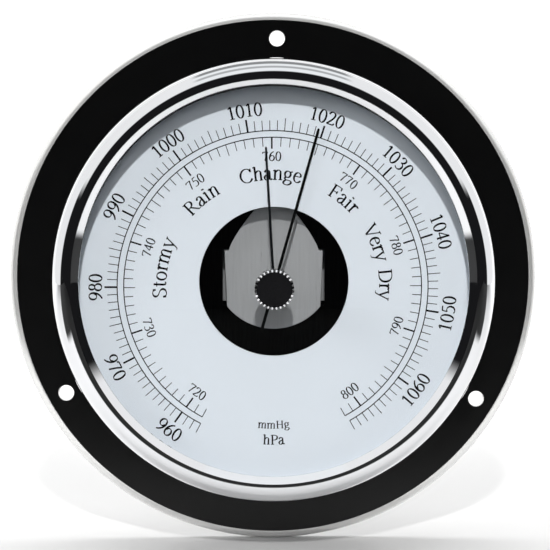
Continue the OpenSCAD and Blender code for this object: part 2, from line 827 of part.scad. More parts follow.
module adjusting_screw() {
  head_z = floor_z - cover_t + 0.2;
  color("silver") at_axis() translate([adjuster_x, capsule_y, 0]) difference() {
    union() {
      at_z(head_z) cylinder(r = 1.9, h = 1);
      at_z(head_z + 0.9) cylinder(r = adjuster_r, h = deck_z + 3.6 - head_z - 0.9);
    }
    translate([-3, -0.3, head_z - 0.5]) cube([6, 0.6, 1.05]);
  }
}

mounting_flange();
case_body();
flange_screws();
back_cover();
cover_screws();
bezel();
glass();
glass_gasket();
dial_ring();
dial_plate();
set_knob();
knob_face();
knob_stem();
set_hand();
knob_bush();
bush_nut();
wave_washer();
pressure_hand();
hand_collet();
hand_arbor();
pinion();
hairspring_collet();
hairspring();
hairspring_stud();
sector_gear();
sector_arbor();
rocking_shaft();
lift_arm();
drive_arm();
movement_base();
base_screws();
bridge();
bridge_screws();
pivot_bushes();
front_bush();
shade_plate();
shade_posts();
shade_screws();
rocker_brackets();
bracket_screws();
capsule_lower();
capsule_upper();
capsule_crown();
capsule_stud();
capsule_nut();
main_spring();
spring_bracket();
spring_clamp();
clamp_screws();
adjusting_screw();
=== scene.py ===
"""Looks for a flange-mounted aneroid barometer with an open dial.

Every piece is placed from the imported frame. The dial faces -Y, +X is to the right and +Z is up.
Lengths here are in millimetres until they reach a mesh, which is in metres.
"""

import json
import math

import bmesh
import bpy
from mathutils import Matrix, Vector
from mathutils.geometry import delaunay_2d_cdt


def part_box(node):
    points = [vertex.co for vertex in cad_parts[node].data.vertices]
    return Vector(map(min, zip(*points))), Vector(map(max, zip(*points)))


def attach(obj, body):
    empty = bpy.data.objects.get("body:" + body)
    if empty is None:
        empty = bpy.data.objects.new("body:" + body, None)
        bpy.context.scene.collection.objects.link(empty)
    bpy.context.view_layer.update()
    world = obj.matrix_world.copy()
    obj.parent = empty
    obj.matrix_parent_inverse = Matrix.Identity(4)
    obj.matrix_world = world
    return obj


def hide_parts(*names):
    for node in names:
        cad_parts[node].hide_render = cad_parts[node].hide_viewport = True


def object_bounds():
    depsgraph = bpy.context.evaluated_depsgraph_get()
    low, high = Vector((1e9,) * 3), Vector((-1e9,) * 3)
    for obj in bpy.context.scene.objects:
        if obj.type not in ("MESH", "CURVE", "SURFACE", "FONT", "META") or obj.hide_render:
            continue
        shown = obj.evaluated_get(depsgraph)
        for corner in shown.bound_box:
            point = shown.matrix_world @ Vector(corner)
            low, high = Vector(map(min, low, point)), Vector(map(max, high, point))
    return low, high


MM = 0.001
ROUND = 256  # steps round a large circle

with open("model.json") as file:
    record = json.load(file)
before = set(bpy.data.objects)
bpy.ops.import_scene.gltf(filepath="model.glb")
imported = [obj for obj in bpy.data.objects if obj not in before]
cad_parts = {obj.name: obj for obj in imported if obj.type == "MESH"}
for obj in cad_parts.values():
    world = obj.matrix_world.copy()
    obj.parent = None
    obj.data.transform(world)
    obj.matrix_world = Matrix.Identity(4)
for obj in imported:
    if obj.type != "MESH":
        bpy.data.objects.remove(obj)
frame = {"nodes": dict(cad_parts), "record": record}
cad_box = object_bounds()


# ---------- sizes read from the frame, in millimetres ----------


def low(node):
    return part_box(node)[0] / MM


def high(node):
    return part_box(node)[1] / MM


FLANGE_R = high("mounting_flange").x
FLANGE_FRONT = -low("mounting_flange").y
BEZEL_R = high("bezel").x
BEZEL_BACK = -high("bezel").y
BEZEL_TOP = -low("bezel").y
GLASS_TOP = -low("glass").y
CASE_TOP = -low("case_body").y
DIAL_R = high("dial_plate").x
DIAL_FRONT = -low("dial_plate").y
DIAL_BACK = -high("dial_plate").y
AXIS_Z = (high("knob_face").z + low("knob_face").z) / 2
KNOB_BACK = -high("set_knob").y
KNOB_FRONT = -low("set_knob").y
KNOB_R = high("set_knob").z - AXIS_Z
FACE_R = high("knob_face").x
FACE_BACK = -high("knob_face").y
HAND_BACK = -high("pressure_hand").y
HAND_FRONT = -low("pressure_hand").y
BRIDGE_FRONT = -low("bridge").y


# ---------- small tools ----------


def at(x, z, out):
    """A point x to the right and z above the hand axis, out millimetres in front of the wall."""
    return Vector((x, -out, z + AXIS_Z)) * MM


def new_piece(name, mesh_parts, material, body, replaced=(), smooth=30):
    """Makes one object from a bmesh, finishes its shading and hands it to the frame."""
    mesh = bpy.data.meshes.new(name)
    bmesh.ops.recalc_face_normals(mesh_parts, faces=mesh_parts.faces)
    mesh_parts.to_mesh(mesh)
    mesh_parts.free()
    mesh.shade_smooth()
    mesh.set_sharp_from_angle(angle=math.radians(smooth))
    piece = bpy.data.objects.new(name, mesh)
    bpy.context.scene.collection.objects.link(piece)
    mesh.materials.append(material)
    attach(piece, body)
    if replaced:
        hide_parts(*replaced)
    return piece


def lathe(bm, profile, steps=ROUND):
    """Turns a closed profile of (radius, height above the wall) about the case's axis."""
    rings = []
    for i in range(steps):
        a = 2 * math.pi * i / steps
        c, s = math.cos(a), math.sin(a)
        rings.append([bm.verts.new((r * c * MM, -h * MM, r * s * MM)) for r, h in profile])
    n = len(profile)
    for i in range(steps):
        here, there = rings[i], rings[(i + 1) % steps]
        for k in range(n):
            m = (k + 1) % n
            bm.faces.new((here[k], there[k], there[m], here[m]))


def arc(cx, cy, r, a0, a1, steps):
    """Points of a circular arc, angles in degrees."""
    return [
        (
            cx + r * math.cos(math.radians(a0 + (a1 - a0) * i / steps)),
            cy + r * math.sin(math.radians(a0 + (a1 - a0) * i / steps)),
        )
        for i in range(steps + 1)
    ]


def prism(bm, outline, back, front, bevel=0.0, segments=2):
    """A flat closed plate with an outline of (x, z) about the hand axis, between two heights."""
    rear = [bm.verts.new((x * MM, -back * MM, (z + AXIS_Z) * MM)) for x, z in outline]
    face = bm.faces.new(rear)
    made = bmesh.ops.extrude_face_region(bm, geom=[face])
    top = [v for v in made["geom"] if isinstance(v, bmesh.types.BMVert)]
    bmesh.ops.translate(bm, verts=top, vec=(0, -(front - back) * MM, 0))
    if bevel:
        edges = {e for v in top for e in v.link_edges if e.other_vert(v) in top}
        bmesh.ops.bevel(
            bm, geom=list(edges), offset=bevel * MM, segments=segments, profile=0.5, affect="EDGES"
        )


# ---------- materials ----------


def maths(tree, operation, a, b=None):
    """A maths node fed by sockets or numbers. Returns its output."""
    made = tree.nodes.new("ShaderNodeMath")
    made.operation = operation
    for socket, value in zip(made.inputs, (a, b)):
        if isinstance(value, (int, float)):
            socket.default_value = value
        elif value is not None:
            tree.links.new(value, socket)
    return made.outputs[0]


def between(tree, value, low_in, high_in, low_out, high_out, way="SMOOTHSTEP"):
    """A change from one value to another as the input goes over a range."""
    made = tree.nodes.new("ShaderNodeMapRange")
    made.interpolation_type = way
    for key, number in (
        ("From Min", low_in),
        ("From Max", high_in),
        ("To Min", low_out),
        ("To Max", high_out),
    ):
        made.inputs[key].default_value = number
    tree.links.new(value, made.inputs["Value"])
    return made.outputs["Result"]


# places of the colour sockets on a mix node, where several share a name
MIX_A, MIX_B, MIX_RESULT = 6, 7, 2


def mixed(tree, factor, colour_a, colour_b):
    """A mix of two colours by a factor. Each colour is a socket or three numbers."""
    made = tree.nodes.new("ShaderNodeMix")
    made.data_type = "RGBA"
    tree.links.new(factor, made.inputs["Factor"])
    for index, colour in ((MIX_A, colour_a), (MIX_B, colour_b)):
        if isinstance(colour, (tuple, list)):
            made.inputs[index].default_value = (*colour, 1)
        else:
            tree.links.new(colour, made.inputs[index])
    return made.outputs[MIX_RESULT]


class Shader:
    """A node material with a Principled shader, and short ways to add procedural detail."""

    def __init__(self, name, **sockets):
        self.material = bpy.data.materials.new(name)
        self.material.use_nodes = True
        self.tree = self.material.node_tree
        self.nodes = self.tree.nodes
        self.bsdf = self.nodes["Principled BSDF"]
        for key, value in sockets.items():
            self.bsdf.inputs[key.replace("_", " ")].default_value = value

    def node(self, kind, **settings):
        made = self.nodes.new(kind)
        for key, value in settings.items():
            if key in made.inputs:
                made.inputs[key].default_value = value
            else:
                setattr(made, key, value)
        return made

    def link(self, source, target):
        self.tree.links.new(source, target)

    def coords(self, stretch=(1, 1, 1)):
        """Object coordinates in millimetres, stretched along each axis."""
        where = self.node("ShaderNodeTexCoord")
        mapping = self.node("ShaderNodeMapping")
        mapping.inputs["Scale"].default_value = [s / MM for s in stretch]
        self.link(where.outputs["Object"], mapping.inputs["Vector"])
        return mapping.outputs["Vector"]

    def noise(self, scale, stretch=(1, 1, 1), detail=3.0, roughness=0.55):
        made = self.node("ShaderNodeTexNoise")
        made.inputs["Scale"].default_value = scale
        made.inputs["Detail"].default_value = detail
        made.inputs["Roughness"].default_value = roughness
        self.link(self.coords(stretch), made.inputs["Vector"])
        return made.outputs["Fac"]

    def ramp(self, value, low_in, high_in, low_out, high_out):
        return between(self.tree, value, low_in, high_in, low_out, high_out, "LINEAR")

    def blend(self, factor, colour_a, colour_b):
        """Mixes two colours by a factor into the base colour."""
        self.link(mixed(self.tree, factor, colour_a, colour_b), self.bsdf.inputs["Base Color"])

    def bump(self, height, strength, distance):
        made = self.node("ShaderNodeBump")
        made.inputs["Strength"].default_value = strength
        made.inputs["Distance"].default_value = distance * MM
        self.link(height, made.inputs["Height"])
        self.link(made.outputs["Normal"], self.bsdf.inputs["Normal"])

    def radius(self):
        """Distance from the hand axis, in millimetres."""
        split = self.node("ShaderNodeSeparateXYZ")
        self.link(self.coords(), split.inputs["Vector"])
        flat = self.node("ShaderNodeCombineXYZ")
        self.link(split.outputs["X"], flat.inputs["X"])
        self.link(maths(self.tree, "SUBTRACT", split.outputs["Z"], AXIS_Z), flat.inputs["Y"])
        length = self.node("ShaderNodeVectorMath", operation="LENGTH")
        self.link(flat.outputs["Vector"], length.inputs[0])
        return length.outputs["Value"]

    def turned(self):
        """Fine turning marks: the highlight spreads across rings about the dial's axis."""
        tangent = self.node("ShaderNodeTangent", direction_type="RADIAL", axis="Y")
        self.link(tangent.outputs["Tangent"], self.bsdf.inputs["Tangent"])


def polished(name, colour, rough, wear=0.02, metal=1.0):
    """Polished plate: faint hairlines and clouding in its roughness."""
    s = Shader(name, Base_Color=(*colour, 1), Metallic=metal)
    cloud = s.noise(0.35, detail=4.0)
    s.link(s.ramp(cloud, 0.35, 0.7, rough, rough + wear), s.bsdf.inputs["Roughness"])
    tone = [c * 0.94 for c in colour]
    s.blend(s.noise(0.08, detail=2.0), tone, colour)
    s.bump(s.noise(6.0, stretch=(1, 0.2, 1)), 0.04, 0.004)
    return s.material


def brushed(name, colour, rough, stretch, strength=0.25, spread=0.16, metal=1.0):
    """Brushed or rolled metal: streaks along one direction in tone, roughness and relief."""
    s = Shader(name, Base_Color=(*colour, 1), Metallic=metal)
    streak = s.noise(3.0, stretch=stretch, detail=6.0, roughness=0.7)
    dark = [c * (1 - spread) for c in colour]
    light = [min(1.0, c * (1 + spread)) for c in colour]
    s.blend(s.ramp(streak, 0.3, 0.7, 0, 1), dark, light)
    s.link(s.ramp(streak, 0.3, 0.7, rough - 0.06, rough + 0.1), s.bsdf.inputs["Roughness"])
    s.bump(streak, strength, 0.01)
    return s.material


def painted(name, colour, rough, grain=0.2, grain_scale=2.0, shine=0.5):
    """Paint or lacquer: slight orange peel and a little variation in tone."""
    s = Shader(name, Base_Color=(*colour, 1), Roughness=rough, Specular_IOR_Level=shine)
    s.blend(s.noise(0.25), [c * 0.8 for c in colour], [c * 1.2 for c in colour])
    peel = s.noise(grain_scale, detail=2.0)
    s.bump(peel, grain, 0.01)
    return s.material


def make_lacquer():
    """Deep black lacquer, nearly flat, with a faint orange peel and clouding of its gloss."""
    s = Shader("black_lacquer", Specular_IOR_Level=0.4)
    s.blend(s.noise(0.2), (0.0012, 0.0012, 0.0013), (0.0022, 0.0022, 0.0023))
    s.link(s.ramp(s.noise(0.3, detail=4.0), 0.3, 0.7, 0.3, 0.36), s.bsdf.inputs["Roughness"])
    s.bump(s.noise(0.5, detail=1.0), 0.03, 0.01)
    return s.material


def make_dial_white():
    """Satin silver-white dial with a fine grain in its varnish."""
    s = Shader("dial_white", Metallic=0.0, Roughness=0.45, Specular_IOR_Level=0.35)
    grain = s.noise(9.0, detail=3.0)
    s.blend(s.ramp(grain, 0.35, 0.65, 0, 1), (0.76, 0.815, 0.875), (0.8, 0.85, 0.905))
    s.bump(grain, 0.06, 0.004)
    return s.material


def make_ink():
    s = Shader("dial_ink", Roughness=0.6, Specular_IOR_Level=0.08)
    s.blend(s.noise(8.0), (0.002, 0.002, 0.0025), (0.006, 0.006, 0.007))
    return s.material


def make_glass():
    """Clear glass that lamps can shine through, so that the dial behind it is lit."""
    tint = (0.985, 0.995, 1.0, 1)
    s = Shader("clear_glass", Base_Color=tint, Roughness=0.0, IOR=1.45, Transmission_Weight=1.0)
    clear = s.node("ShaderNodeBsdfTransparent")
    path = s.node("ShaderNodeLightPath")
    mix = s.node("ShaderNodeMixShader")
    s.link(path.outputs["Is Shadow Ray"], mix.inputs["Fac"])
    s.link(s.bsdf.outputs["BSDF"], mix.inputs[1])
    s.link(clear.outputs["BSDF"], mix.inputs[2])
    s.link(mix.outputs["Shader"], s.nodes["Material Output"].inputs["Surface"])
    return s.material


def make_knob_black():
    """Turned and black-anodised face: rings that catch the light in a bow-tie."""
    s = Shader(
        "knob_black", Base_Color=(0.03, 0.03, 0.033, 1), Metallic=0.85, Roughness=0.32, Anisotropic=0.85
    )
    s.turned()
    ring_pitch = 0.16
    turns = maths(s.tree, "MULTIPLY", s.radius(), 2 * math.pi / ring_pitch)
    s.bump(maths(s.tree, "SINE", turns), 0.25, 0.003)
    s.blend(s.noise(4.0), (0.022, 0.022, 0.024), (0.045, 0.045, 0.05))
    return s.material


def make_rubber():
    s = Shader("black_rubber", Roughness=0.75, Specular_IOR_Level=0.3)
    grain = s.noise(5.0, detail=5.0)
    s.blend(grain, (0.012, 0.012, 0.012), (0.03, 0.03, 0.03))
    s.bump(grain, 0.3, 0.02)
    return s.material


CHROME = polished("chrome", (0.86, 0.87, 0.89), 0.025)
CHROME_CASE = polished("chrome_case", (0.8, 0.81, 0.83), 0.06, 0.05)
RIM = polished("polished_rim", (0.84, 0.84, 0.83), 0.24, 0.02, metal=0.7)
KNOB_SIDE = brushed("knob_side", (0.03, 0.03, 0.032), 0.3, (1, 0.1, 1), 0.1)
KNOB_CHROME = polished("knob_chrome", (0.85, 0.86, 0.88), 0.05, 0.04)
LACQUER = make_lacquer()
STEEL = brushed("steel", (0.6, 0.6, 0.62), 0.3, (1, 1, 1), 0.15)
BRIDGE = brushed("brushed_bridge", (0.58, 0.59, 0.6), 0.33, (1, 1, 0.04), 0.3, 0.06, metal=0.45)
BRACKET = brushed("bracket_metal", (0.5, 0.51, 0.53), 0.4, (0.3, 1, 1), 0.2)
BRASS = brushed("brass", (0.62, 0.44, 0.18), 0.28, (1, 0.3, 1), 0.15)
BRONZE = brushed("capsule_bronze", (0.5, 0.45, 0.34), 0.33, (1, 1, 0.3), 0.2)
BLUED = brushed("blued_steel", (0.05, 0.07, 0.2), 0.25, (1, 0.4, 1), 0.1, 0.4)
BLACK_COVER = painted("black_cover", (0.018, 0.018, 0.018), 0.5, grain=0.5, grain_scale=3.0)
SHADE = brushed("shade_black", (0.014, 0.014, 0.015), 0.42, (1, 1, 0.05), 0.3, 0.5)
HAND_BLACK = painted("hand_black", (0.003, 0.003, 0.003), 0.5, grain=0.1, shine=0.15)
HAND_GREY = brushed("hand_grey", (0.13, 0.14, 0.15), 0.35, (1, 1, 0.1), 0.1)
DIAL_WHITE = make_dial_white()
RING_WHITE = painted("ring_white", (0.72, 0.75, 0.8), 0.5, grain=0.1)
INK = make_ink()
GLASS = make_glass()
KNOB_BLACK = make_knob_black()
RUBBER = make_rubber()

BY_SLOT = {
    "black_lacquer": LACQUER,
    "chrome_case": CHROME_CASE,
    "chrome_bezel": CHROME,
    "chrome_knob": KNOB_CHROME,
    "steel_screw": STEEL,
    "steel_arbor": STEEL,
    "spring_steel": STEEL,
    "blued_spring": BLUED,
    "black_cover": BLACK_COVER,
    "black_base": SHADE,
    "brushed_bridge": BRACKET,
    "black_hand": HAND_BLACK,
    "grey_hand": HAND_GREY,
    "black_anodised": KNOB_BLACK,
    "dial_white": DIAL_WHITE,
    "white_ring": RING_WHITE,
    "black_rubber": RUBBER,
    "clear_glass": GLASS,
    "brass": BRASS,
    "capsule_bronze": BRONZE,
}
BY_NODE = {"pivot_bushes": BRIDGE}  # pressed into the bridge, and of its metal


def dress_frame():
    """Gives each CAD node that stays in sight the material of its slot."""
    slots = {p["node"]: p["material_slot"] for p in frame["record"]["subparts"]}
    for name, node in frame["nodes"].items():
        node.data.materials.clear()
        node.data.materials.append(BY_NODE.get(name) or BY_SLOT[slots[name]])


# ---------- flange ----------

HOLE_CIRCLE = 49.5
HOLE_R = 1.6
HOLE_ANGLES = (89.1, 209.1, 329.1)
HOLE_CHAMFER = 0.06
EDGE_R = 1.8
BACK_EDGE = 0.25  # broken edge at the back of the rim
SCREW_CIRCLE = 40.9
SCREW_ANGLES = (45, 135, 225, 315)
SCREW_CLEAR_R = 0.9
SCREW_SINK_R = 1.7
SCREW_SINK = 1.2
FLANGE_BORE = 39.0
LACQUER_R = FLANGE_R - EDGE_R + 0.1
LACQUER_T = 0.02
UNDER_BEZEL = 3.5  # how far the lacquer goes in under the bezel


def circle(r, steps, cx=0.0, cz=0.0):
    return [
        (cx + r * math.cos(2 * math.pi * i / steps), cz + r * math.sin(2 * math.pi * i / steps))
        for i in range(steps)
    ]


def flat_with_holes(bm, outer, holes, height):
    """A flat face at one height with an outer outline and holes. Returns the rings of vertices."""
    loops = [outer] + holes
    points, edges = [], []
    for loop in loops:
        base = len(points)
        points += [Vector(p) for p in loop]
        edges += [(base + i, base + (i + 1) % len(loop)) for i in range(len(loop))]
    made, _, faces, origin, _, _ = delaunay_2d_cdt(points, edges, [], 0, 1e-6)
    verts = [bm.verts.new((p.x * MM, -height * MM, p.y * MM)) for p in made]
    place = {o: i for i, sources in enumerate(origin) for o in sources}
    for f in faces:
        mid = sum((made[i] for i in f), Vector((0, 0))) / len(f)
        if inside(mid, outer) and not any(inside(mid, h) for h in holes):
            bm.faces.new([verts[i] for i in f])
    rings, base = [], 0
    for loop in loops:
        rings.append([verts[place[base + i]] for i in range(len(loop))])
        base += len(loop)
    return rings


def inside(point, loop):
    """True if a point lies within a closed outline."""
    hit = False
    for i, (x0, y0) in enumerate(loop):
        x1, y1 = loop[i - 1]
        if (y0 > point.y) != (y1 > point.y):
            if point.x < (x1 - x0) * (point.y - y0) / (y1 - y0) + x0:
                hit = not hit
    return hit


def join_rings(bm, a, b):
    for i in range(len(a)):
        j = (i + 1) % len(a)
        bm.faces.new((a[i], a[j], b[j], b[i]))


def ring_at(bm, loop, height):
    return [bm.verts.new((x * MM, -height * MM, z * MM)) for x, z in loop]


def holes_on(circle_r, angles, r, steps):
    """Round outlines of one radius, at angles on a circle."""
    turns = [math.radians(a) for a in angles]
    return [circle(r, steps, circle_r * math.cos(a), circle_r * math.sin(a)) for a in turns]


def fixing_holes(r):
    return holes_on(HOLE_CIRCLE, HOLE_ANGLES, r, 40)


def screw_holes(r):
    return holes_on(SCREW_CIRCLE, SCREW_ANGLES, r, 24)


def make_flange():
    """The plate itself: polished rounded edge, bright holes with small chamfers, bare back."""
    bm = bmesh.new()
    flat_r = FLANGE_R - EDGE_R
    mouths = [circle(FLANGE_BORE, ROUND)] + fixing_holes(HOLE_R + HOLE_CHAMFER)
    front = flat_with_holes(
        bm,
        circle(flat_r, ROUND),
        mouths + screw_holes(SCREW_CLEAR_R),
        FLANGE_FRONT,
    )
    back = flat_with_holes(
        bm,
        circle(FLANGE_R - BACK_EDGE, ROUND),
        mouths + screw_holes(SCREW_SINK_R),
        0.0,
    )
    last = front[0]
    turns = arc(flat_r, FLANGE_FRONT - EDGE_R, EDGE_R, 90, 0, 18)[1:]
    for r, h in turns + [(FLANGE_R, BACK_EDGE)]:
        ring = ring_at(bm, circle(r, ROUND), h)
        join_rings(bm, last, ring)
        last = ring
    join_rings(bm, last, back[0])
    join_rings(bm, front[1], back[1])
    # rings 0 and 1 are the rim and the bore, then come the fixing holes and the screw holes
    first_screw = 2 + len(HOLE_ANGLES)
    for hole, above, below in zip(fixing_holes(HOLE_R), front[2:first_screw], back[2:first_screw]):
        upper = ring_at(bm, hole, FLANGE_FRONT - HOLE_CHAMFER)
        lower = ring_at(bm, hole, HOLE_CHAMFER)
        join_rings(bm, above, upper)
        join_rings(bm, upper, lower)
        join_rings(bm, lower, below)
    sinks, clears = screw_holes(SCREW_SINK_R), screw_holes(SCREW_CLEAR_R)
    for sink, clear, above, below in zip(sinks, clears, front[first_screw:], back[first_screw:]):
        seat = ring_at(bm, sink, SCREW_SINK)
        inner = ring_at(bm, clear, SCREW_SINK)
        join_rings(bm, below, seat)
        join_rings(bm, seat, inner)
        join_rings(bm, inner, above)
    new_piece("flange_plate", bm, RIM, "case", ["mounting_flange"])


def make_lacquer_coat():
    """Black lacquer over the flat front of the flange, stopping short of the rim and holes."""
    bm = bmesh.new()
    outer = circle(LACQUER_R, ROUND)
    holes = [circle(BEZEL_R - UNDER_BEZEL, ROUND)] + fixing_holes(HOLE_R + HOLE_CHAMFER + 0.01)
    front = flat_with_holes(bm, outer, holes, FLANGE_FRONT + LACQUER_T)
    back = flat_with_holes(bm, outer, holes, FLANGE_FRONT - 0.004)
    for a, b in zip(front, back):
        join_rings(bm, a, b)
    new_piece("flange_lacquer", bm, LACQUER, "case")


# ---------- case, bezel, dial ----------


BULGE = 12.7  # height where the bezel's wall starts to curve in
CREST_IN = 4.95  # how far the crest stands in from the wall
CREST_R = BEZEL_R - CREST_IN
CREST_ROUND = 0.25
CREST_POWER = 2 / 2.2
SIGHT_R = 38.0
LIP = 0.47  # height of the sight edge above the glass
LIP_BREAK = 0.08
SEAT_R = 41.3
SEAT_WALL = 1.25
FOOT_ROUND = 0.5
REST = 0.01  # air between the bezel and the glass
DIAL_HOLE_R = 14.75
DIAL_EDGE = 0.06
DIAL_SLACK = 0.05


def make_bezel():
    """Spun bezel: bulging outer wall, thin crest, inner cone down to a lip over the glass."""
    rise = BEZEL_TOP - BULGE
    outer = []
    for i in range(41):
        a = math.radians(2.25 * i)
        r = CREST_R + CREST_IN * abs(math.cos(a)) ** CREST_POWER
        outer.append((r, BULGE + rise * math.sin(a) ** CREST_POWER))
    inner = []
    for a in (9, 18, 27, 36, 45):
        a = math.radians(a)
        drop = CREST_ROUND * (1 - math.cos(a))
        inner.append((CREST_R - CREST_ROUND * math.sin(a), BEZEL_TOP - drop))
    wall, glass, case = SEAT_R + SEAT_WALL, GLASS_TOP + REST, CASE_TOP + 0.05
    profile = (
        [(wall, BEZEL_BACK), (BEZEL_R - FOOT_ROUND, BEZEL_BACK)]
        + arc(BEZEL_R - FOOT_ROUND, BEZEL_BACK + FOOT_ROUND, FOOT_ROUND, -60, -15, 3)
        + [(BEZEL_R, BEZEL_BACK + 0.6), (BEZEL_R, BULGE - 2)]
        + outer
        + inner
        + [(SIGHT_R + LIP_BREAK, GLASS_TOP + LIP + LIP_BREAK), (SIGHT_R, GLASS_TOP + LIP)]
        + [(SIGHT_R, glass), (SEAT_R, glass), (SEAT_R, case), (wall, case)]
    )
    bm = bmesh.new()
    lathe(bm, profile, steps=2 * ROUND)
    new_piece("bezel_ring", bm, CHROME, "case", ["bezel"], smooth=38)


def make_dial():
    """Dial plate with a finely broken edge round its opening."""
    rim = DIAL_R - DIAL_SLACK
    profile = [
        (DIAL_HOLE_R, DIAL_BACK),
        (DIAL_HOLE_R, DIAL_FRONT - DIAL_EDGE),
        (DIAL_HOLE_R + DIAL_EDGE, DIAL_FRONT),
        (rim, DIAL_FRONT),
        (rim, DIAL_BACK),
    ]
    bm = bmesh.new()
    lathe(bm, profile)
    new_piece("dial_disc", bm, DIAL_WHITE, "case", ["dial_plate"])


# ---------- dial print ----------

INK_T = 0.015
INK_SINK = 0.002  # how far the strokes reach into the plate
DEG_PER_MMHG = 3.6
MMHG_PER_HPA = 0.750062
TOP_HPA, TOP_MMHG = 1013.25, 760  # pressure at the top of the dial
HPA = {"r": 30.7, "first": 957, "last": 1069, "long": 2.5, "short": 2.0, "bold": 0.36}
MMHG = {"r": 29.4, "first": 718, "last": 802, "long": -2.25, "short": -1.8, "bold": 0.32}
RING_W, TICK_W = 0.2, 0.15
LAST_UPRIGHT = 91  # degrees from the top where numerals turn over
NIB_SLANT = math.radians(-12)
NIB_FINE, NIB_HEAVY, NIB_POWER = 0.065, 0.085, 1.5
PRINT_TURN = math.radians(0.37)
PRINT_SHIFT = -0.23


def as_printed(p):
    """The print sits a hair off true on its plate: turned to the left and moved sideways."""
    c, s = math.cos(PRINT_TURN), math.sin(PRINT_TURN)
    return p.x * c - p.y * s + PRINT_SHIFT, p.x * s + p.y * c


class Pen:
    """Draws thin ink strokes on the dial, as closed ribbons a little proud of it."""

    def __init__(self):
        self.bm = bmesh.new()

    def ribbon(self, points, widths):
        """A ribbon along (x, z) points about the hand axis, with a width at each."""
        bm, n = self.bm, len(points)
        rows = []
        for i in range(n):
            before = Vector(points[max(i - 1, 0)])
            after = Vector(points[min(i + 1, n - 1)])
            along = (after - before).normalized()
            side = Vector((-along.y, along.x)) * widths[i] / 2
            here = Vector(points[i])
            rows.append(
                [
                    bm.verts.new(at(*as_printed(p), DIAL_FRONT + h))
                    for p in (here + side, here - side)
                    for h in (-INK_SINK, INK_T)
                ]
            )
        for a, b in zip(rows, rows[1:]):
            bm.faces.new((a[1], b[1], b[3], a[3]))
            bm.faces.new((a[0], a[2], b[2], b[0]))
            bm.faces.new((a[0], b[0], b[1], a[1]))
            bm.faces.new((a[2], a[3], b[3], b[2]))
        bm.faces.new((rows[0][0], rows[0][1], rows[0][3], rows[0][2]))
        bm.faces.new((rows[-1][0], rows[-1][2], rows[-1][3], rows[-1][1]))

    def tick(self, angle, r0, r1, width):
        a = math.radians(angle)
        ends = [(r * math.sin(a), r * math.cos(a)) for r in (r0, r1)]
        self.ribbon(ends, [width, width])

    def scale_arc(self, r, a0, a1, width, steps=180):
        points = [
            (r * math.sin(math.radians(a)), r * math.cos(math.radians(a)))
            for a in [a0 + (a1 - a0) * i / steps for i in range(steps + 1)]
        ]
        self.ribbon(points, [width] * len(points))

    def glyph(self, letter, place, size, weight=1.0):
        """Draws a letter. place turns the letter's own (x, y) into a point on the dial."""
        for kind, heavy, points in GLYPHS[letter]:
            path = spline(points) if kind == "curve" else dense(points)
            widths = [size * weight * heavy * nib(path, i) for i in range(len(path))]
            self.ribbon([place(x, y) for x, y in path], widths)

    def word(self, text, centre, baseline, size, spacing=1.0, weight=1.0, upright=True):
        """A word along a circle. Below the dial's middle its tops point to the centre."""
        total = sum(advance(c) for c in text) * size * spacing
        sign = 1 if upright else -1
        middle = baseline + (size / 2 if upright else -size / 2)
        start = -total / 2
        for c in text:
            step = advance(c) * size * spacing
            turn = math.degrees((start + step / 2) / middle) * sign + centre
            a = math.radians(turn)
            shift = advance(c) / 2

            def place(x, y, a=a, shift=shift):
                along = sign * (x - shift) * size
                out = baseline + sign * y * size
                return (
                    out * math.sin(a) + along * math.cos(a),
                    out * math.cos(a) - along * math.sin(a),
                )

            self.glyph(c, place, size, weight)
            start += step


def nib(path, i):
    """Width of a stroke by its direction: upright strokes are heavy and level ones are fine."""
    x0, y0 = path[max(i - 1, 0)]
    x1, y1 = path[min(i + 1, len(path) - 1)]
    lean = abs(math.sin(math.atan2(y1 - y0, x1 - x0) - NIB_SLANT))
    return NIB_FINE + NIB_HEAVY * lean**NIB_POWER


def dense(points):
    """The points of straight strokes, with one between each pair so that corners stay crisp."""
    out = [points[0]]
    for (x0, y0), (x1, y1) in zip(points, points[1:]):
        out += [((x0 + x1) / 2, (y0 + y1) / 2), (x1, y1)]
    return out


def spline(points, steps=6):
    """A smooth curve through the points."""
    closed = points[0] == points[-1]
    n = len(points)
    out = []
    for i in range(n - 1):
        p1, p2 = Vector(points[i]), Vector(points[i + 1])
        p0 = Vector(points[i - 1] if i else (points[-2] if closed else points[0]))
        p3 = Vector(points[i + 2] if i + 2 < n else (points[1] if closed else points[-1]))
        for k in range(steps):
            t = k / steps
            v = (
                2 * p1
                + (p2 - p0) * t
                + (2 * p0 - 5 * p1 + 4 * p2 - p3) * t**2
                + (3 * p1 - p0 - 3 * p2 + p3) * t**3
            ) / 2
            out.append((v.x, v.y))
    out.append(tuple(points[-1]))
    return out


def curve(heavy, *points):
    """A curved stroke through points, this many times as heavy as a plain one."""
    return ("curve", heavy, list(points))


def line(heavy, *points):
    return ("line", heavy, list(points))


def ring(cx, cy, rx, ry):
    """A closed oval stroke."""
    turns = [math.radians(a) for a in range(0, 361, 30)]
    return curve(1.0, *[(cx + rx * math.sin(a), cy + ry * math.cos(a)) for a in turns])


def stem(x, y0, y1):
    return line(1.0, (x, y0), (x, y1))


def serif(x0, x1, y):
    return line(0.9, (x0, y), (x1, y))


def foot(x, reach=0.14):
    return serif(x - reach, x + reach, 0.02)


def flag(x, y):
    """The small slanted stroke at the top left of a stem."""
    return line(0.9, (x - 0.15, y - 0.07), (x + 0.02, y))


def arch(x0, x1, top=0.72):
    """The shoulder from one stem to the next, and the second stem."""
    shoulder = curve(
        0.95,
        (x0, top - 0.2),
        (x0 + (x1 - x0) * 0.35, top - 0.04),
        (x0 + (x1 - x0) * 0.7, top),
        (x1 - 0.01, top - 0.1),
        (x1, top - 0.26),
    )
    return [shoulder, stem(x1, 0.0, top - 0.24), foot(x1)]


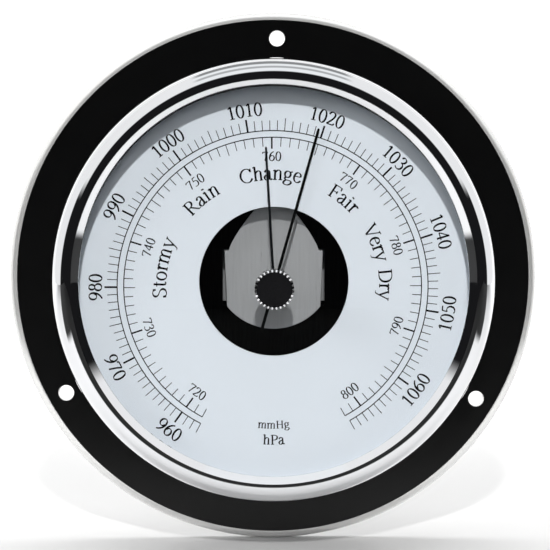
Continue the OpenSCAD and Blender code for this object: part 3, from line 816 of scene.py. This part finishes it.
def turned_about(strokes, cx, cy):
    """The same strokes turned half way round a point."""
    return [(k, w, [(2 * cx - x, 2 * cy - y) for x, y in pts]) for k, w, pts in strokes]


SIX = [
    curve(
        1.0,
        (0.56, 1.0), (0.36, 0.88), (0.18, 0.66), (0.1, 0.38), (0.13, 0.14), (0.25, 0.01),
        (0.38, 0.0), (0.53, 0.1), (0.6, 0.3), (0.54, 0.5), (0.4, 0.58), (0.24, 0.53), (0.14, 0.4),
    )
]
BOWL_LOW = [
    (0.27, 0.54), (0.46, 0.5), (0.57, 0.36), (0.56, 0.16), (0.43, 0.02), (0.24, -0.01), (0.09, 0.07),
]
GLYPHS = {
    "0": [ring(0.35, 0.49, 0.25, 0.5)],
    "1": [
        stem(0.37, 0.0, 0.98),
        line(0.9, (0.17, 0.83), (0.37, 0.98)),
        foot(0.37, 0.18),
    ],
    "2": [
        curve(
            1.0,
            (0.1, 0.78), (0.17, 0.93), (0.33, 1.0), (0.51, 0.92), (0.56, 0.74), (0.46, 0.5),
            (0.28, 0.26), (0.08, 0.03),
        ),
        line(1.25, (0.08, 0.035), (0.58, 0.035)),
        line(0.8, (0.58, 0.03), (0.63, 0.18)),
    ],
    "3": [
        curve(
            1.0,
            (0.12, 0.83), (0.21, 0.96), (0.36, 1.0), (0.51, 0.9), (0.51, 0.72), (0.4, 0.59),
            (0.27, 0.54),
        ),
        curve(1.0, *BOWL_LOW),
    ],
    "4": [
        line(0.6, (0.47, 0.98), (0.06, 0.3)),
        line(1.2, (0.05, 0.28), (0.64, 0.28)),
        stem(0.46, 0.0, 1.0),
    ],
    "5": [
        line(1.3, (0.2, 0.95), (0.58, 0.97)),
        line(0.6, (0.22, 0.97), (0.16, 0.57)),
        curve(
            1.0,
            (0.16, 0.57), (0.32, 0.62), (0.48, 0.56), (0.58, 0.38), (0.54, 0.15), (0.4, 0.02),
            (0.22, -0.01), (0.09, 0.07),
        ),
    ],
    "6": SIX,
    "7": [
        line(1.3, (0.08, 0.95), (0.6, 0.95)),
        line(0.85, (0.6, 0.96), (0.44, 0.6), (0.27, 0.0)),
        line(0.8, (0.08, 0.96), (0.05, 0.8)),
    ],
    "8": [ring(0.35, 0.76, 0.19, 0.23), ring(0.35, 0.27, 0.25, 0.27)],
    "9": turned_about(SIX, 0.35, 0.495),
    "S": [
        curve(
            1.0,
            (0.68, 0.78), (0.6, 0.94), (0.43, 1.0), (0.25, 0.94), (0.17, 0.78), (0.26, 0.61),
            (0.44, 0.52), (0.63, 0.4), (0.7, 0.22), (0.6, 0.05), (0.4, -0.01), (0.2, 0.05),
            (0.12, 0.24),
        ),
        line(0.6, (0.68, 0.76), (0.69, 0.98)),
        line(0.6, (0.12, 0.26), (0.11, 0.02)),
    ],
    "R": [
        stem(0.24, 0.0, 1.0),
        foot(0.24),
        serif(0.08, 0.3, 0.98),
        curve(
            1.0,
            (0.24, 0.98), (0.5, 0.98), (0.67, 0.9), (0.72, 0.75), (0.64, 0.6), (0.48, 0.53),
            (0.24, 0.51),
        ),
        line(1.0, (0.46, 0.52), (0.86, 0.03)),
        serif(0.8, 1.02, 0.02),
    ],
    "C": [
        curve(
            1.0,
            (0.9, 0.74), (0.8, 0.92), (0.6, 1.0), (0.36, 0.94), (0.18, 0.74), (0.12, 0.5),
            (0.18, 0.24), (0.36, 0.05), (0.6, -0.01), (0.8, 0.07), (0.93, 0.24),
        ),
        line(0.6, (0.91, 0.7), (0.92, 0.97)),
    ],
    "F": [
        stem(0.24, 0.0, 1.0),
        foot(0.24, 0.16),
        serif(0.08, 0.76, 0.97),
        line(0.7, (0.75, 0.98), (0.77, 0.76)),
        serif(0.24, 0.58, 0.51),
        line(0.7, (0.58, 0.62), (0.58, 0.4)),
    ],
    "V": [
        line(1.05, (0.16, 0.98), (0.54, 0.0)),
        line(0.55, (0.54, 0.0), (0.92, 0.98)),
        serif(0.02, 0.32, 0.98),
        serif(0.8, 1.06, 0.98),
    ],
    "D": [
        stem(0.24, 0.0, 1.0),
        serif(0.08, 0.5, 0.02),
        serif(0.08, 0.5, 0.97),
        curve(
            1.0,
            (0.45, 0.98), (0.7, 0.93), (0.9, 0.76), (0.96, 0.5), (0.9, 0.24), (0.7, 0.06),
            (0.45, 0.01),
        ),
    ],
    "P": [
        stem(0.24, 0.0, 1.0),
        foot(0.24, 0.16),
        serif(0.08, 0.3, 0.98),
        curve(
            1.0,
            (0.24, 0.98), (0.5, 0.98), (0.68, 0.9), (0.74, 0.73), (0.66, 0.56), (0.48, 0.48),
            (0.24, 0.48),
        ),
    ],
    "H": [stem(0.24, 0.0, 1.0), foot(0.24), serif(0.1, 0.38, 0.98), serif(0.24, 0.86, 0.52)]
    + [stem(0.86, 0.0, 1.0), foot(0.86), serif(0.72, 1.0, 0.98)],
    "a": [
        curve(1.0, (0.1, 0.56), (0.2, 0.69), (0.33, 0.72), (0.44, 0.64), (0.46, 0.46)),
        curve(1.0, (0.46, 0.48), (0.46, 0.26), (0.47, 0.09), (0.54, 0.02), (0.65, 0.08)),
        curve(
            0.95,
            (0.46, 0.44), (0.25, 0.37), (0.1, 0.24), (0.1, 0.09), (0.21, 0.0), (0.35, 0.04),
            (0.46, 0.16),
        ),
    ],
    "e": [
        serif(0.1, 0.56, 0.43),
        curve(
            1.0,
            (0.56, 0.43), (0.52, 0.62), (0.36, 0.72), (0.19, 0.65), (0.09, 0.42), (0.12, 0.17),
            (0.27, 0.01), (0.45, 0.02), (0.6, 0.16),
        ),
    ],
    "g": [
        ring(0.34, 0.48, 0.21, 0.23),
        line(1.0, (0.5, 0.64), (0.68, 0.7)),
        curve(
            1.0,
            (0.24, 0.28), (0.16, 0.18), (0.24, 0.07), (0.46, 0.04), (0.62, -0.03), (0.62, -0.17),
            (0.44, -0.29), (0.24, -0.29), (0.09, -0.2), (0.12, -0.06), (0.26, 0.06),
        ),
    ],
    "h": [stem(0.18, 0.0, 1.04), flag(0.18, 1.04), foot(0.18)] + arch(0.18, 0.58),
    "i": [stem(0.2, 0.0, 0.72), flag(0.2, 0.72), foot(0.2)] + [line(1.3, (0.19, 0.9), (0.21, 1.0))],
    "m": [stem(0.18, 0.0, 0.72), flag(0.18, 0.72), foot(0.18)] + arch(0.18, 0.58) + arch(0.58, 0.98),
    "n": [stem(0.18, 0.0, 0.72), flag(0.18, 0.72), foot(0.18)] + arch(0.18, 0.58),
    "o": [ring(0.378, 0.36, 0.27, 0.36)],
    "r": [
        stem(0.18, 0.0, 0.72),
        flag(0.18, 0.72),
        foot(0.18),
        curve(1.0, (0.18, 0.48), (0.27, 0.64), (0.38, 0.71), (0.48, 0.66)),
        line(1.2, (0.44, 0.7), (0.47, 0.6)),
    ],
    "t": [
        curve(1.0, (0.19, 0.92), (0.19, 0.5), (0.19, 0.16), (0.25, 0.02), (0.4, 0.06)),
        serif(0.03, 0.38, 0.69),
    ],
    "y": [
        line(1.0, (0.1, 0.72), (0.38, 0.04)),
        curve(0.6, (0.68, 0.72), (0.5, 0.3), (0.32, -0.14), (0.22, -0.28), (0.08, -0.27)),
        serif(0.0, 0.25, 0.7),
        serif(0.55, 0.78, 0.7),
    ],
}
ADVANCE = {
    "S": 0.84, "R": 1.0, "C": 1.0, "F": 0.82, "V": 1.0, "D": 1.09, "P": 0.84, "H": 1.09, "a": 0.67,
    "e": 0.67, "g": 0.73, "h": 0.755, "i": 0.42, "m": 1.175, "n": 0.755, "o": 0.755, "r": 0.52,
    "t": 0.43, "y": 0.755,
}
NUMERAL_ADVANCE = 0.7


def advance(letter):
    return ADVANCE.get(letter, NUMERAL_ADVANCE)


def hpa_angle(p):
    return (p - TOP_HPA) * MMHG_PER_HPA * DEG_PER_MMHG


def mmhg_angle(p):
    return (p - TOP_MMHG) * DEG_PER_MMHG


def make_print():
    """Scales in hectopascals and millimetres of mercury, and the five weather words."""
    pen = Pen()
    scales = ((HPA, hpa_angle), (MMHG, mmhg_angle))
    for scale, angle_of in scales:
        pen.scale_arc(scale["r"], angle_of(scale["first"]), angle_of(scale["last"]), RING_W)
    for scale, angle_of in scales:
        for p in range(scale["first"], scale["last"] + 1):
            reach = scale["long"] if p % 5 == 0 else scale["short"]
            width = scale["bold"] if p % 10 == 0 else TICK_W
            pen.tick(angle_of(p), scale["r"], scale["r"] + reach, width)
    label(pen, range(960, 1061, 10), hpa_angle, 33.75, 2.55)
    label(pen, range(720, 801, 10), mmhg_angle, 24.8, 1.8)
    words = (
        ("Stormy", -95.8, -64.1),
        ("Rain", -49.0, -28.6),
        ("Change", -16.9, 15.5),
        ("Fair", 30.6, 48.0),
        ("Very", 57.5, 77.2),
        ("Dry", 81.3, 97.3),
    )
    size, baseline = 2.68, 21.05
    for text, a0, a1 in words:
        natural = sum(advance(c) for c in text) * size
        wanted = math.radians(a1 - a0) * (baseline + size / 2)
        pen.word(text, (a0 + a1) / 2, baseline, size, wanted / natural)
    pen.word("hPa", 180, 31.4, 1.9, upright=False, weight=1.1)
    pen.word("mmHg", 180, 28.2, 1.5, upright=False, weight=1.1)
    new_piece("dial_print", pen.bm, INK, "case")


def label(pen, values, angle_of, baseline, size):
    """Numerals round a scale. Past the horizontal they are turned to stay readable."""
    for p in values:
        a = angle_of(p)
        upright = abs(a) < LAST_UPRIGHT
        pen.word(str(p), a, baseline if upright else baseline + size, size, upright=upright)


# ---------- hands ----------

PRESSURE_TURN, SET_TURN = 15.8, -3.3  # degrees clockwise from straight up


def hand_outline(length, tail, root, tip):
    """A slim blade along +z with a blunt point and a squared tail."""
    half, end = root / 2, tip / 2
    shoulder, corner = length - 0.25, -tail + 0.1
    right = [(half, corner), (half, 0), (end, shoulder), (end * 0.5, length)]
    left = [(-x, z) for x, z in right[::-1]]
    return right + left + [(-half * 0.7, -tail), (half * 0.7, -tail)]


def turned_points(points, clockwise):
    c, s = math.cos(math.radians(clockwise)), math.sin(math.radians(clockwise))
    return [(x * c + z * s, -x * s + z * c) for x, z in points]


def make_pressure_hand():
    """Long blade with a short tail and a small boss."""
    bm = bmesh.new()
    blade = turned_points(hand_outline(32.3, 9.0, 0.62, 0.5), PRESSURE_TURN)
    prism(bm, blade, HAND_BACK, HAND_FRONT, bevel=0.05)
    prism(bm, circle(1.6, 48), HAND_BACK - 0.01, HAND_FRONT + 0.03, bevel=0.05)
    new_piece("hand_blade", bm, HAND_BLACK, "hand", ["pressure_hand"], smooth=50)


def make_set_hand():
    """Shorter blade without a tail, standing on a flat boss."""
    back, front = -high("set_hand").y, -low("set_hand").y
    bm = bmesh.new()
    blade = turned_points(hand_outline(27.5, 0.6, 0.55, 0.42), SET_TURN)
    prism(bm, blade, back + 0.2, back + 0.42, bevel=0.08)
    prism(bm, circle(1.7, 48), back, front, bevel=0.06)
    new_piece("set_pointer", bm, HAND_GREY, "setting_knob", ["set_hand"], smooth=50)


# ---------- knob ----------


RIDGES = 28
RIDGE_STEPS = 12
RIDGE_DEPTH = 0.34
FACET_IN, FACET_DROP = 0.42, 0.4  # the bright facet at the front end of each ridge
KNOB_CHAMFER = 0.2
KNOB_BORE = 1.0
DISH = 0.2


def make_knob():
    """Black knurled ring: each ridge ends in a small bright facet cut across its corner."""
    steps = RIDGES * RIDGE_STEPS
    turns = [2 * math.pi * (i + 0.5) / steps for i in range(steps)]
    bm = bmesh.new()

    def ring_of(radii, height):
        loop = [(r * math.cos(a), r * math.sin(a) + AXIS_Z) for r, a in zip(radii, turns)]
        return ring_at(bm, loop, height)

    def ridged(cut, floor):
        """Radii round the knob, cut back by a turned slope, and all lowered a little."""
        radii = []
        for i in range(steps):
            phase = (i % RIDGE_STEPS + 0.5) / RIDGE_STEPS
            ridge = 1 - min(1, max(0, abs(phase - 0.5) - 0.21) / 0.12)
            radii.append(min(KNOB_R - cut, KNOB_R - RIDGE_DEPTH * (1 - ridge)) - floor)
        return radii

    rings = [
        ring_of(ridged(cut, floor), height)
        for cut, floor, height in (
            (KNOB_CHAMFER, 0, KNOB_BACK),
            (0, 0, KNOB_BACK + KNOB_CHAMFER),
            (0, 0, KNOB_FRONT - FACET_DROP),
            (FACET_IN, 0.02, KNOB_FRONT - 0.02),
            (FACET_IN, 0.06, KNOB_FRONT),
        )
    ]
    facet_row = 2
    for r, height in (
        (FACE_R, KNOB_FRONT),
        (FACE_R, FACE_BACK),
        (KNOB_BORE, FACE_BACK),
        (KNOB_BORE, KNOB_BACK),
    ):
        rings.append(ring_of([r] * steps, height))
    for k, (a, b) in enumerate(zip(rings, rings[1:] + rings[:1])):
        for i in range(steps):
            j = (i + 1) % steps
            face = bm.faces.new((a[i], a[j], b[j], b[i]))
            on_ridge = abs((i % RIDGE_STEPS + 1) / RIDGE_STEPS - 0.5) < 0.25
            face.material_index = 1 if k == facet_row and on_ridge else 0
    knob = new_piece("knob_ring", bm, KNOB_SIDE, "setting_knob", ["set_knob"], smooth=24)
    knob.data.materials.append(KNOB_CHROME)


def make_knob_face():
    """Shallow turned dish, black, with a broken edge."""
    top = KNOB_FRONT - 0.02
    edge = FACE_R - 0.01
    steps, n = 128, 24
    dish = [(FACE_R * i / n, top - DISH + DISH * (i / n) ** 2) for i in range(n - 1, 0, -1)]
    profile = [(edge, FACE_BACK), (edge, top - 0.05), (FACE_R - 0.08, top)] + dish
    bm = bmesh.new()
    rings = [ring_at(bm, [(x, z + AXIS_Z) for x, z in circle(r, steps)], h) for r, h in profile]
    for a, b in zip(rings, rings[1:]):
        join_rings(bm, a, b)
    bm.faces.new(rings[-1])
    bm.faces.new(rings[0])
    new_piece("knob_disc", bm, KNOB_BLACK, "setting_knob", ["knob_face"], smooth=50)


# ---------- bridge ----------


BRIDGE_HALF, BRIDGE_LOW_HALF = 9.85, 9.35
ARCH_HALF, ARCH_TIP, ARCH_POWER, ARCH_STEPS = 9.0, 2.1, 1.28, 16
SHOULDER, EAR, CHIN = 7.05, -4.2, -8.7
BRIDGE_T = 0.8
WALL_LOW = -3.6  # bottom of the side walls
FOOT_REACH = 13.8


def bridge_outline():
    """Pointed arch above the shoulders, tapering sides and a rounded chin."""
    top = high("bridge").z - AXIS_Z
    drop = EAR - CHIN
    r = (BRIDGE_LOW_HALF**2 + drop**2) / (2 * drop)
    spread = math.degrees(math.asin(BRIDGE_LOW_HALF / r))
    chin = arc(0, CHIN + r, r, 270 - spread, 270 + spread, 24)
    rise = top - ARCH_TIP - SHOULDER
    side = [(BRIDGE_HALF, SHOULDER), (ARCH_HALF, SHOULDER)]
    for i in range(1, ARCH_STEPS + 1):
        x = (ARCH_HALF - ARCH_TIP) * (1 - (i / ARCH_STEPS) ** ARCH_POWER) + ARCH_TIP
        side.append((x, SHOULDER + rise * i / ARCH_STEPS))
    tip = arc(0, SHOULDER + rise, ARCH_TIP, 12, 168, 13)
    return chin + side + tip + [(-x, z) for x, z in side[::-1]]


def make_bridge():
    """Front plate with softly rounded edges, side walls bent back, and feet."""
    bm = bmesh.new()
    prism(bm, bridge_outline(), BRIDGE_FRONT - BRIDGE_T, BRIDGE_FRONT, bevel=0.12, segments=3)
    foot_back = -high("bridge").y
    inner_high, inner_low = (9.05, SHOULDER), (8.6, WALL_LOW)
    wall = [inner_high, (9.83, SHOULDER), (9.37, WALL_LOW), inner_low]
    base = [inner_high, (FOOT_REACH, SHOULDER), (FOOT_REACH, WALL_LOW), inner_low]
    for s in (-1, 1):
        prism(bm, [(s * x, z) for x, z in wall], foot_back, BRIDGE_FRONT - BRIDGE_T / 2)
        prism(bm, [(s * x, z) for x, z in base], foot_back, foot_back + BRIDGE_T, bevel=0.15)
    new_piece("bridge_plate", bm, BRIDGE, "case", ["bridge"], smooth=50)


# ---------- stage, light and camera ----------

# degrees off the camera's side where reflections of the floor, and of the tent, turn from dark to pale.
# On the floor this dark is painted into its colour; in the tent it is the world's light.
FLOOR_PAINTED_DARK = (43, 50)
TENT_DARK = (55, 63)
# (degrees off axis, brightness) of the panels over the object
PANELS = (
    (0, 1.0),
    (84, 1.0),
    (88, 0.5),
    (99, 0.5),
    (103, 1.0),
    (114, 1.0),
    (119, 0.28),
    (137, 0.34),
    (144, 0.95),
)


def make_stage():
    """A pale floor that sweeps up into a backdrop, lit from above. The backdrop also glows as painted
    light, more towards the back, so it is seen white; reflections see the floor painted dark from the
    camera's side.
    """
    floor = cad_box[0].z
    half, near, far, bend, wall = 0.9, -0.7, 0.75, 0.25, 0.9
    path = [(near, floor), (far - bend, floor)]
    path += [
        (far - bend + bend * math.sin(math.radians(a)), floor + bend - bend * math.cos(math.radians(a)))
        for a in range(5, 90, 5)
    ]
    path += [(far, floor + bend), (far, floor + wall)]
    bm = bmesh.new()
    rows = [[bm.verts.new((x, y, z)) for x in (-half, half)] for y, z in path]
    for a, b in zip(rows, rows[1:]):
        bm.faces.new((a[0], a[1], b[1], b[0]))
    mesh = bpy.data.meshes.new("sweep")
    bm.to_mesh(mesh)
    bm.free()
    mesh.shade_smooth()
    sweep = bpy.data.objects.new("sweep", mesh)
    bpy.context.scene.collection.objects.link(sweep)
    s = Shader("sweep_white", Roughness=0.6, Specular_IOR_Level=0.2)
    where = s.node("ShaderNodeTexCoord")
    split = s.node("ShaderNodeSeparateXYZ")
    s.link(where.outputs["Object"], split.inputs["Vector"])
    # Painted light: the sweep glows, from nothing at the object to strong at the back, so the backdrop
    # is seen white.
    glow = between(s.tree, split.outputs["Y"], 0.02, 0.4, 0.0, 0.75)
    s.bsdf.inputs["Emission Color"].default_value = (1, 1, 1, 1)
    s.link(glow, s.bsdf.inputs["Emission Strength"])
    path = s.node("ShaderNodeLightPath")
    direction = s.node("ShaderNodeVectorMath", operation="NORMALIZE")
    s.link(where.outputs["Object"], direction.inputs[0])
    tent = s.node("ShaderNodeSeparateXYZ")
    s.link(direction.outputs["Vector"], tent.inputs["Vector"])
    # Painted dark reflection: for glossy rays the floor's colour turns near black towards the camera's
    # side and at the sides, standing in for a dark studio.
    dark = flagged(s.tree, tent, *FLOOR_PAINTED_DARK)
    painted_dark_reflection = maths(s.tree, "MULTIPLY", dark, path.outputs["Is Glossy Ray"])
    s.blend(painted_dark_reflection, (0.58, 0.58, 0.58), (0.01, 0.01, 0.01))
    mesh.materials.append(s.material)


def flagged(tree, split, clear, white):
    """How dark the studio is in a direction, as reflections see it.

    It is dark round the camera out to a cone, and at two flag-shaped places at the sides where no flag
    stands. The world draws this dark as its light; the floor paints it into its own colour as painted
    dark reflections.
    """
    off_axis = maths(tree, "ARCCOSINE", maths(tree, "MULTIPLY", split.outputs["Y"], -1))
    cone = between(tree, off_axis, math.radians(clear), math.radians(white), 1.0, 0.0)
    across = maths(tree, "ABSOLUTE", split.outputs["X"])
    rise = maths(tree, "DIVIDE", split.outputs["Z"], maths(tree, "ADD", across, 0.0001))
    above = between(tree, rise, 0.36, 0.52, 1.0, 0.0)
    below = between(tree, rise, -0.35, -0.29, 0.0, 1.0)
    reach = between(tree, off_axis, math.radians(81), math.radians(86), 1.0, 0.0)
    side_dark = maths(tree, "MULTIPLY", maths(tree, "MULTIPLY", above, below), reach)
    return maths(tree, "MAXIMUM", cone, side_dark)


def area_light(name, place, aim, width, height, power, colour=(1, 1, 1)):
    """A rectangular lamp, in metres and watts, turned towards a point."""
    light = bpy.data.lights.new(name, "AREA")
    light.shape = "RECTANGLE"
    light.size, light.size_y = width, height
    light.energy = power
    light.color = colour
    lamp = bpy.data.objects.new(name, light)
    bpy.context.scene.collection.objects.link(lamp)
    lamp.location = place
    lamp.rotation_euler = (Vector(aim) - Vector(place)).to_track_quat("-Z", "Y").to_euler()
    return lamp


def make_lights():
    """A small key above the camera throws the crisp shadow. Soft light comes from above and the left."""
    dial = Vector((0, -DIAL_FRONT * MM, 0))
    key = area_light("key", dial + Vector((0, -0.52, 0.348)), dial, 0.03, 0.03, 2.7, (1.0, 0.995, 0.985))
    side = area_light("side_fill", dial + Vector((-0.42, -0.22, 0.2)), dial, 0.16, 0.16, 0.62)
    over = area_light("overhead", (0, 0.02, 0.46), (0, 0.02, 0), 0.76, 0.3, 3.9)
    front = area_light("front_fill", dial + Vector((0, -0.6, 0.12)), dial, 0.3, 0.3, 1.1)
    for lamp in (key, side, over, front):
        lamp.visible_glossy = False
        lamp.visible_transmission = False


def make_world():
    """Pale room for the eye. Reflections see a light tent with a dark opening round the camera."""
    world = bpy.data.worlds.new("studio")
    bpy.context.scene.world = world
    world.use_nodes = True
    tree = world.node_tree
    nodes, link = tree.nodes, tree.links.new
    nodes.clear()
    where = nodes.new("ShaderNodeTexCoord")
    split = nodes.new("ShaderNodeSeparateXYZ")
    link(where.outputs["Generated"], split.inputs[0])
    off_axis = maths(tree, "ARCCOSINE", maths(tree, "MULTIPLY", split.outputs["Y"], -1))
    panels = nodes.new("ShaderNodeValToRGB")
    link(maths(tree, "DIVIDE", off_axis, math.pi), panels.inputs["Fac"])
    stops = panels.color_ramp.elements
    while len(stops) < len(PANELS):
        stops.new(0.5)
    for stop, (angle, value) in zip(stops, PANELS):
        stop.position = angle / 180
        stop.color = (value * 0.97, value * 0.99, value, 1)
    # the panels fill only the top of the tent
    across = maths(tree, "ABSOLUTE", split.outputs["X"])
    slope = maths(tree, "MULTIPLY", split.outputs["Z"], 0.4)
    overhead = between(tree, maths(tree, "SUBTRACT", slope, across), -0.03, 0.03, 0.0, 1.0)
    tent = mixed(tree, overhead, (0.95, 0.95, 0.95), panels.outputs["Color"])
    studio = mixed(tree, flagged(tree, split, *TENT_DARK), tent, (0.01, 0.01, 0.011))
    path = nodes.new("ShaderNodeLightPath")
    soft = mixed(tree, path.outputs["Is Glossy Ray"], (0.2, 0.2, 0.2), studio)
    seen = mixed(tree, path.outputs["Is Camera Ray"], soft, (0.9, 0.9, 0.9))
    background = nodes.new("ShaderNodeBackground")
    link(seen, background.inputs["Color"])
    out = nodes.new("ShaderNodeOutputWorld")
    link(background.outputs[0], out.inputs["Surface"])


def make_camera():
    """Looks at the flange from a little above its middle."""
    data = bpy.data.cameras.new("camera")
    camera = bpy.data.objects.new("camera", data)
    bpy.context.scene.collection.objects.link(camera)
    bpy.context.scene.camera = camera
    distance, lift = 294.0, math.radians(2.92)
    data.lens = 92.35
    data.sensor_width = 36.0
    camera.location = (
        Vector((-2.4, -FLANGE_FRONT - distance * math.cos(lift), distance * math.sin(lift))) * MM
    )
    aim = Vector((0.36, -FLANGE_FRONT, 0.54)) * MM
    camera.rotation_euler = (aim - camera.location).to_track_quat("-Z", "Y").to_euler()
    data.clip_start, data.clip_end = 0.01, 20


dress_frame()
make_flange()
make_lacquer_coat()
make_bezel()
make_dial()
make_print()
make_pressure_hand()
make_set_hand()
make_knob()
make_knob_face()
make_bridge()
make_stage()
make_lights()
make_world()
make_camera()

scene = bpy.context.scene
scene.view_settings.view_transform = "Standard"
scene.view_settings.look = "None"
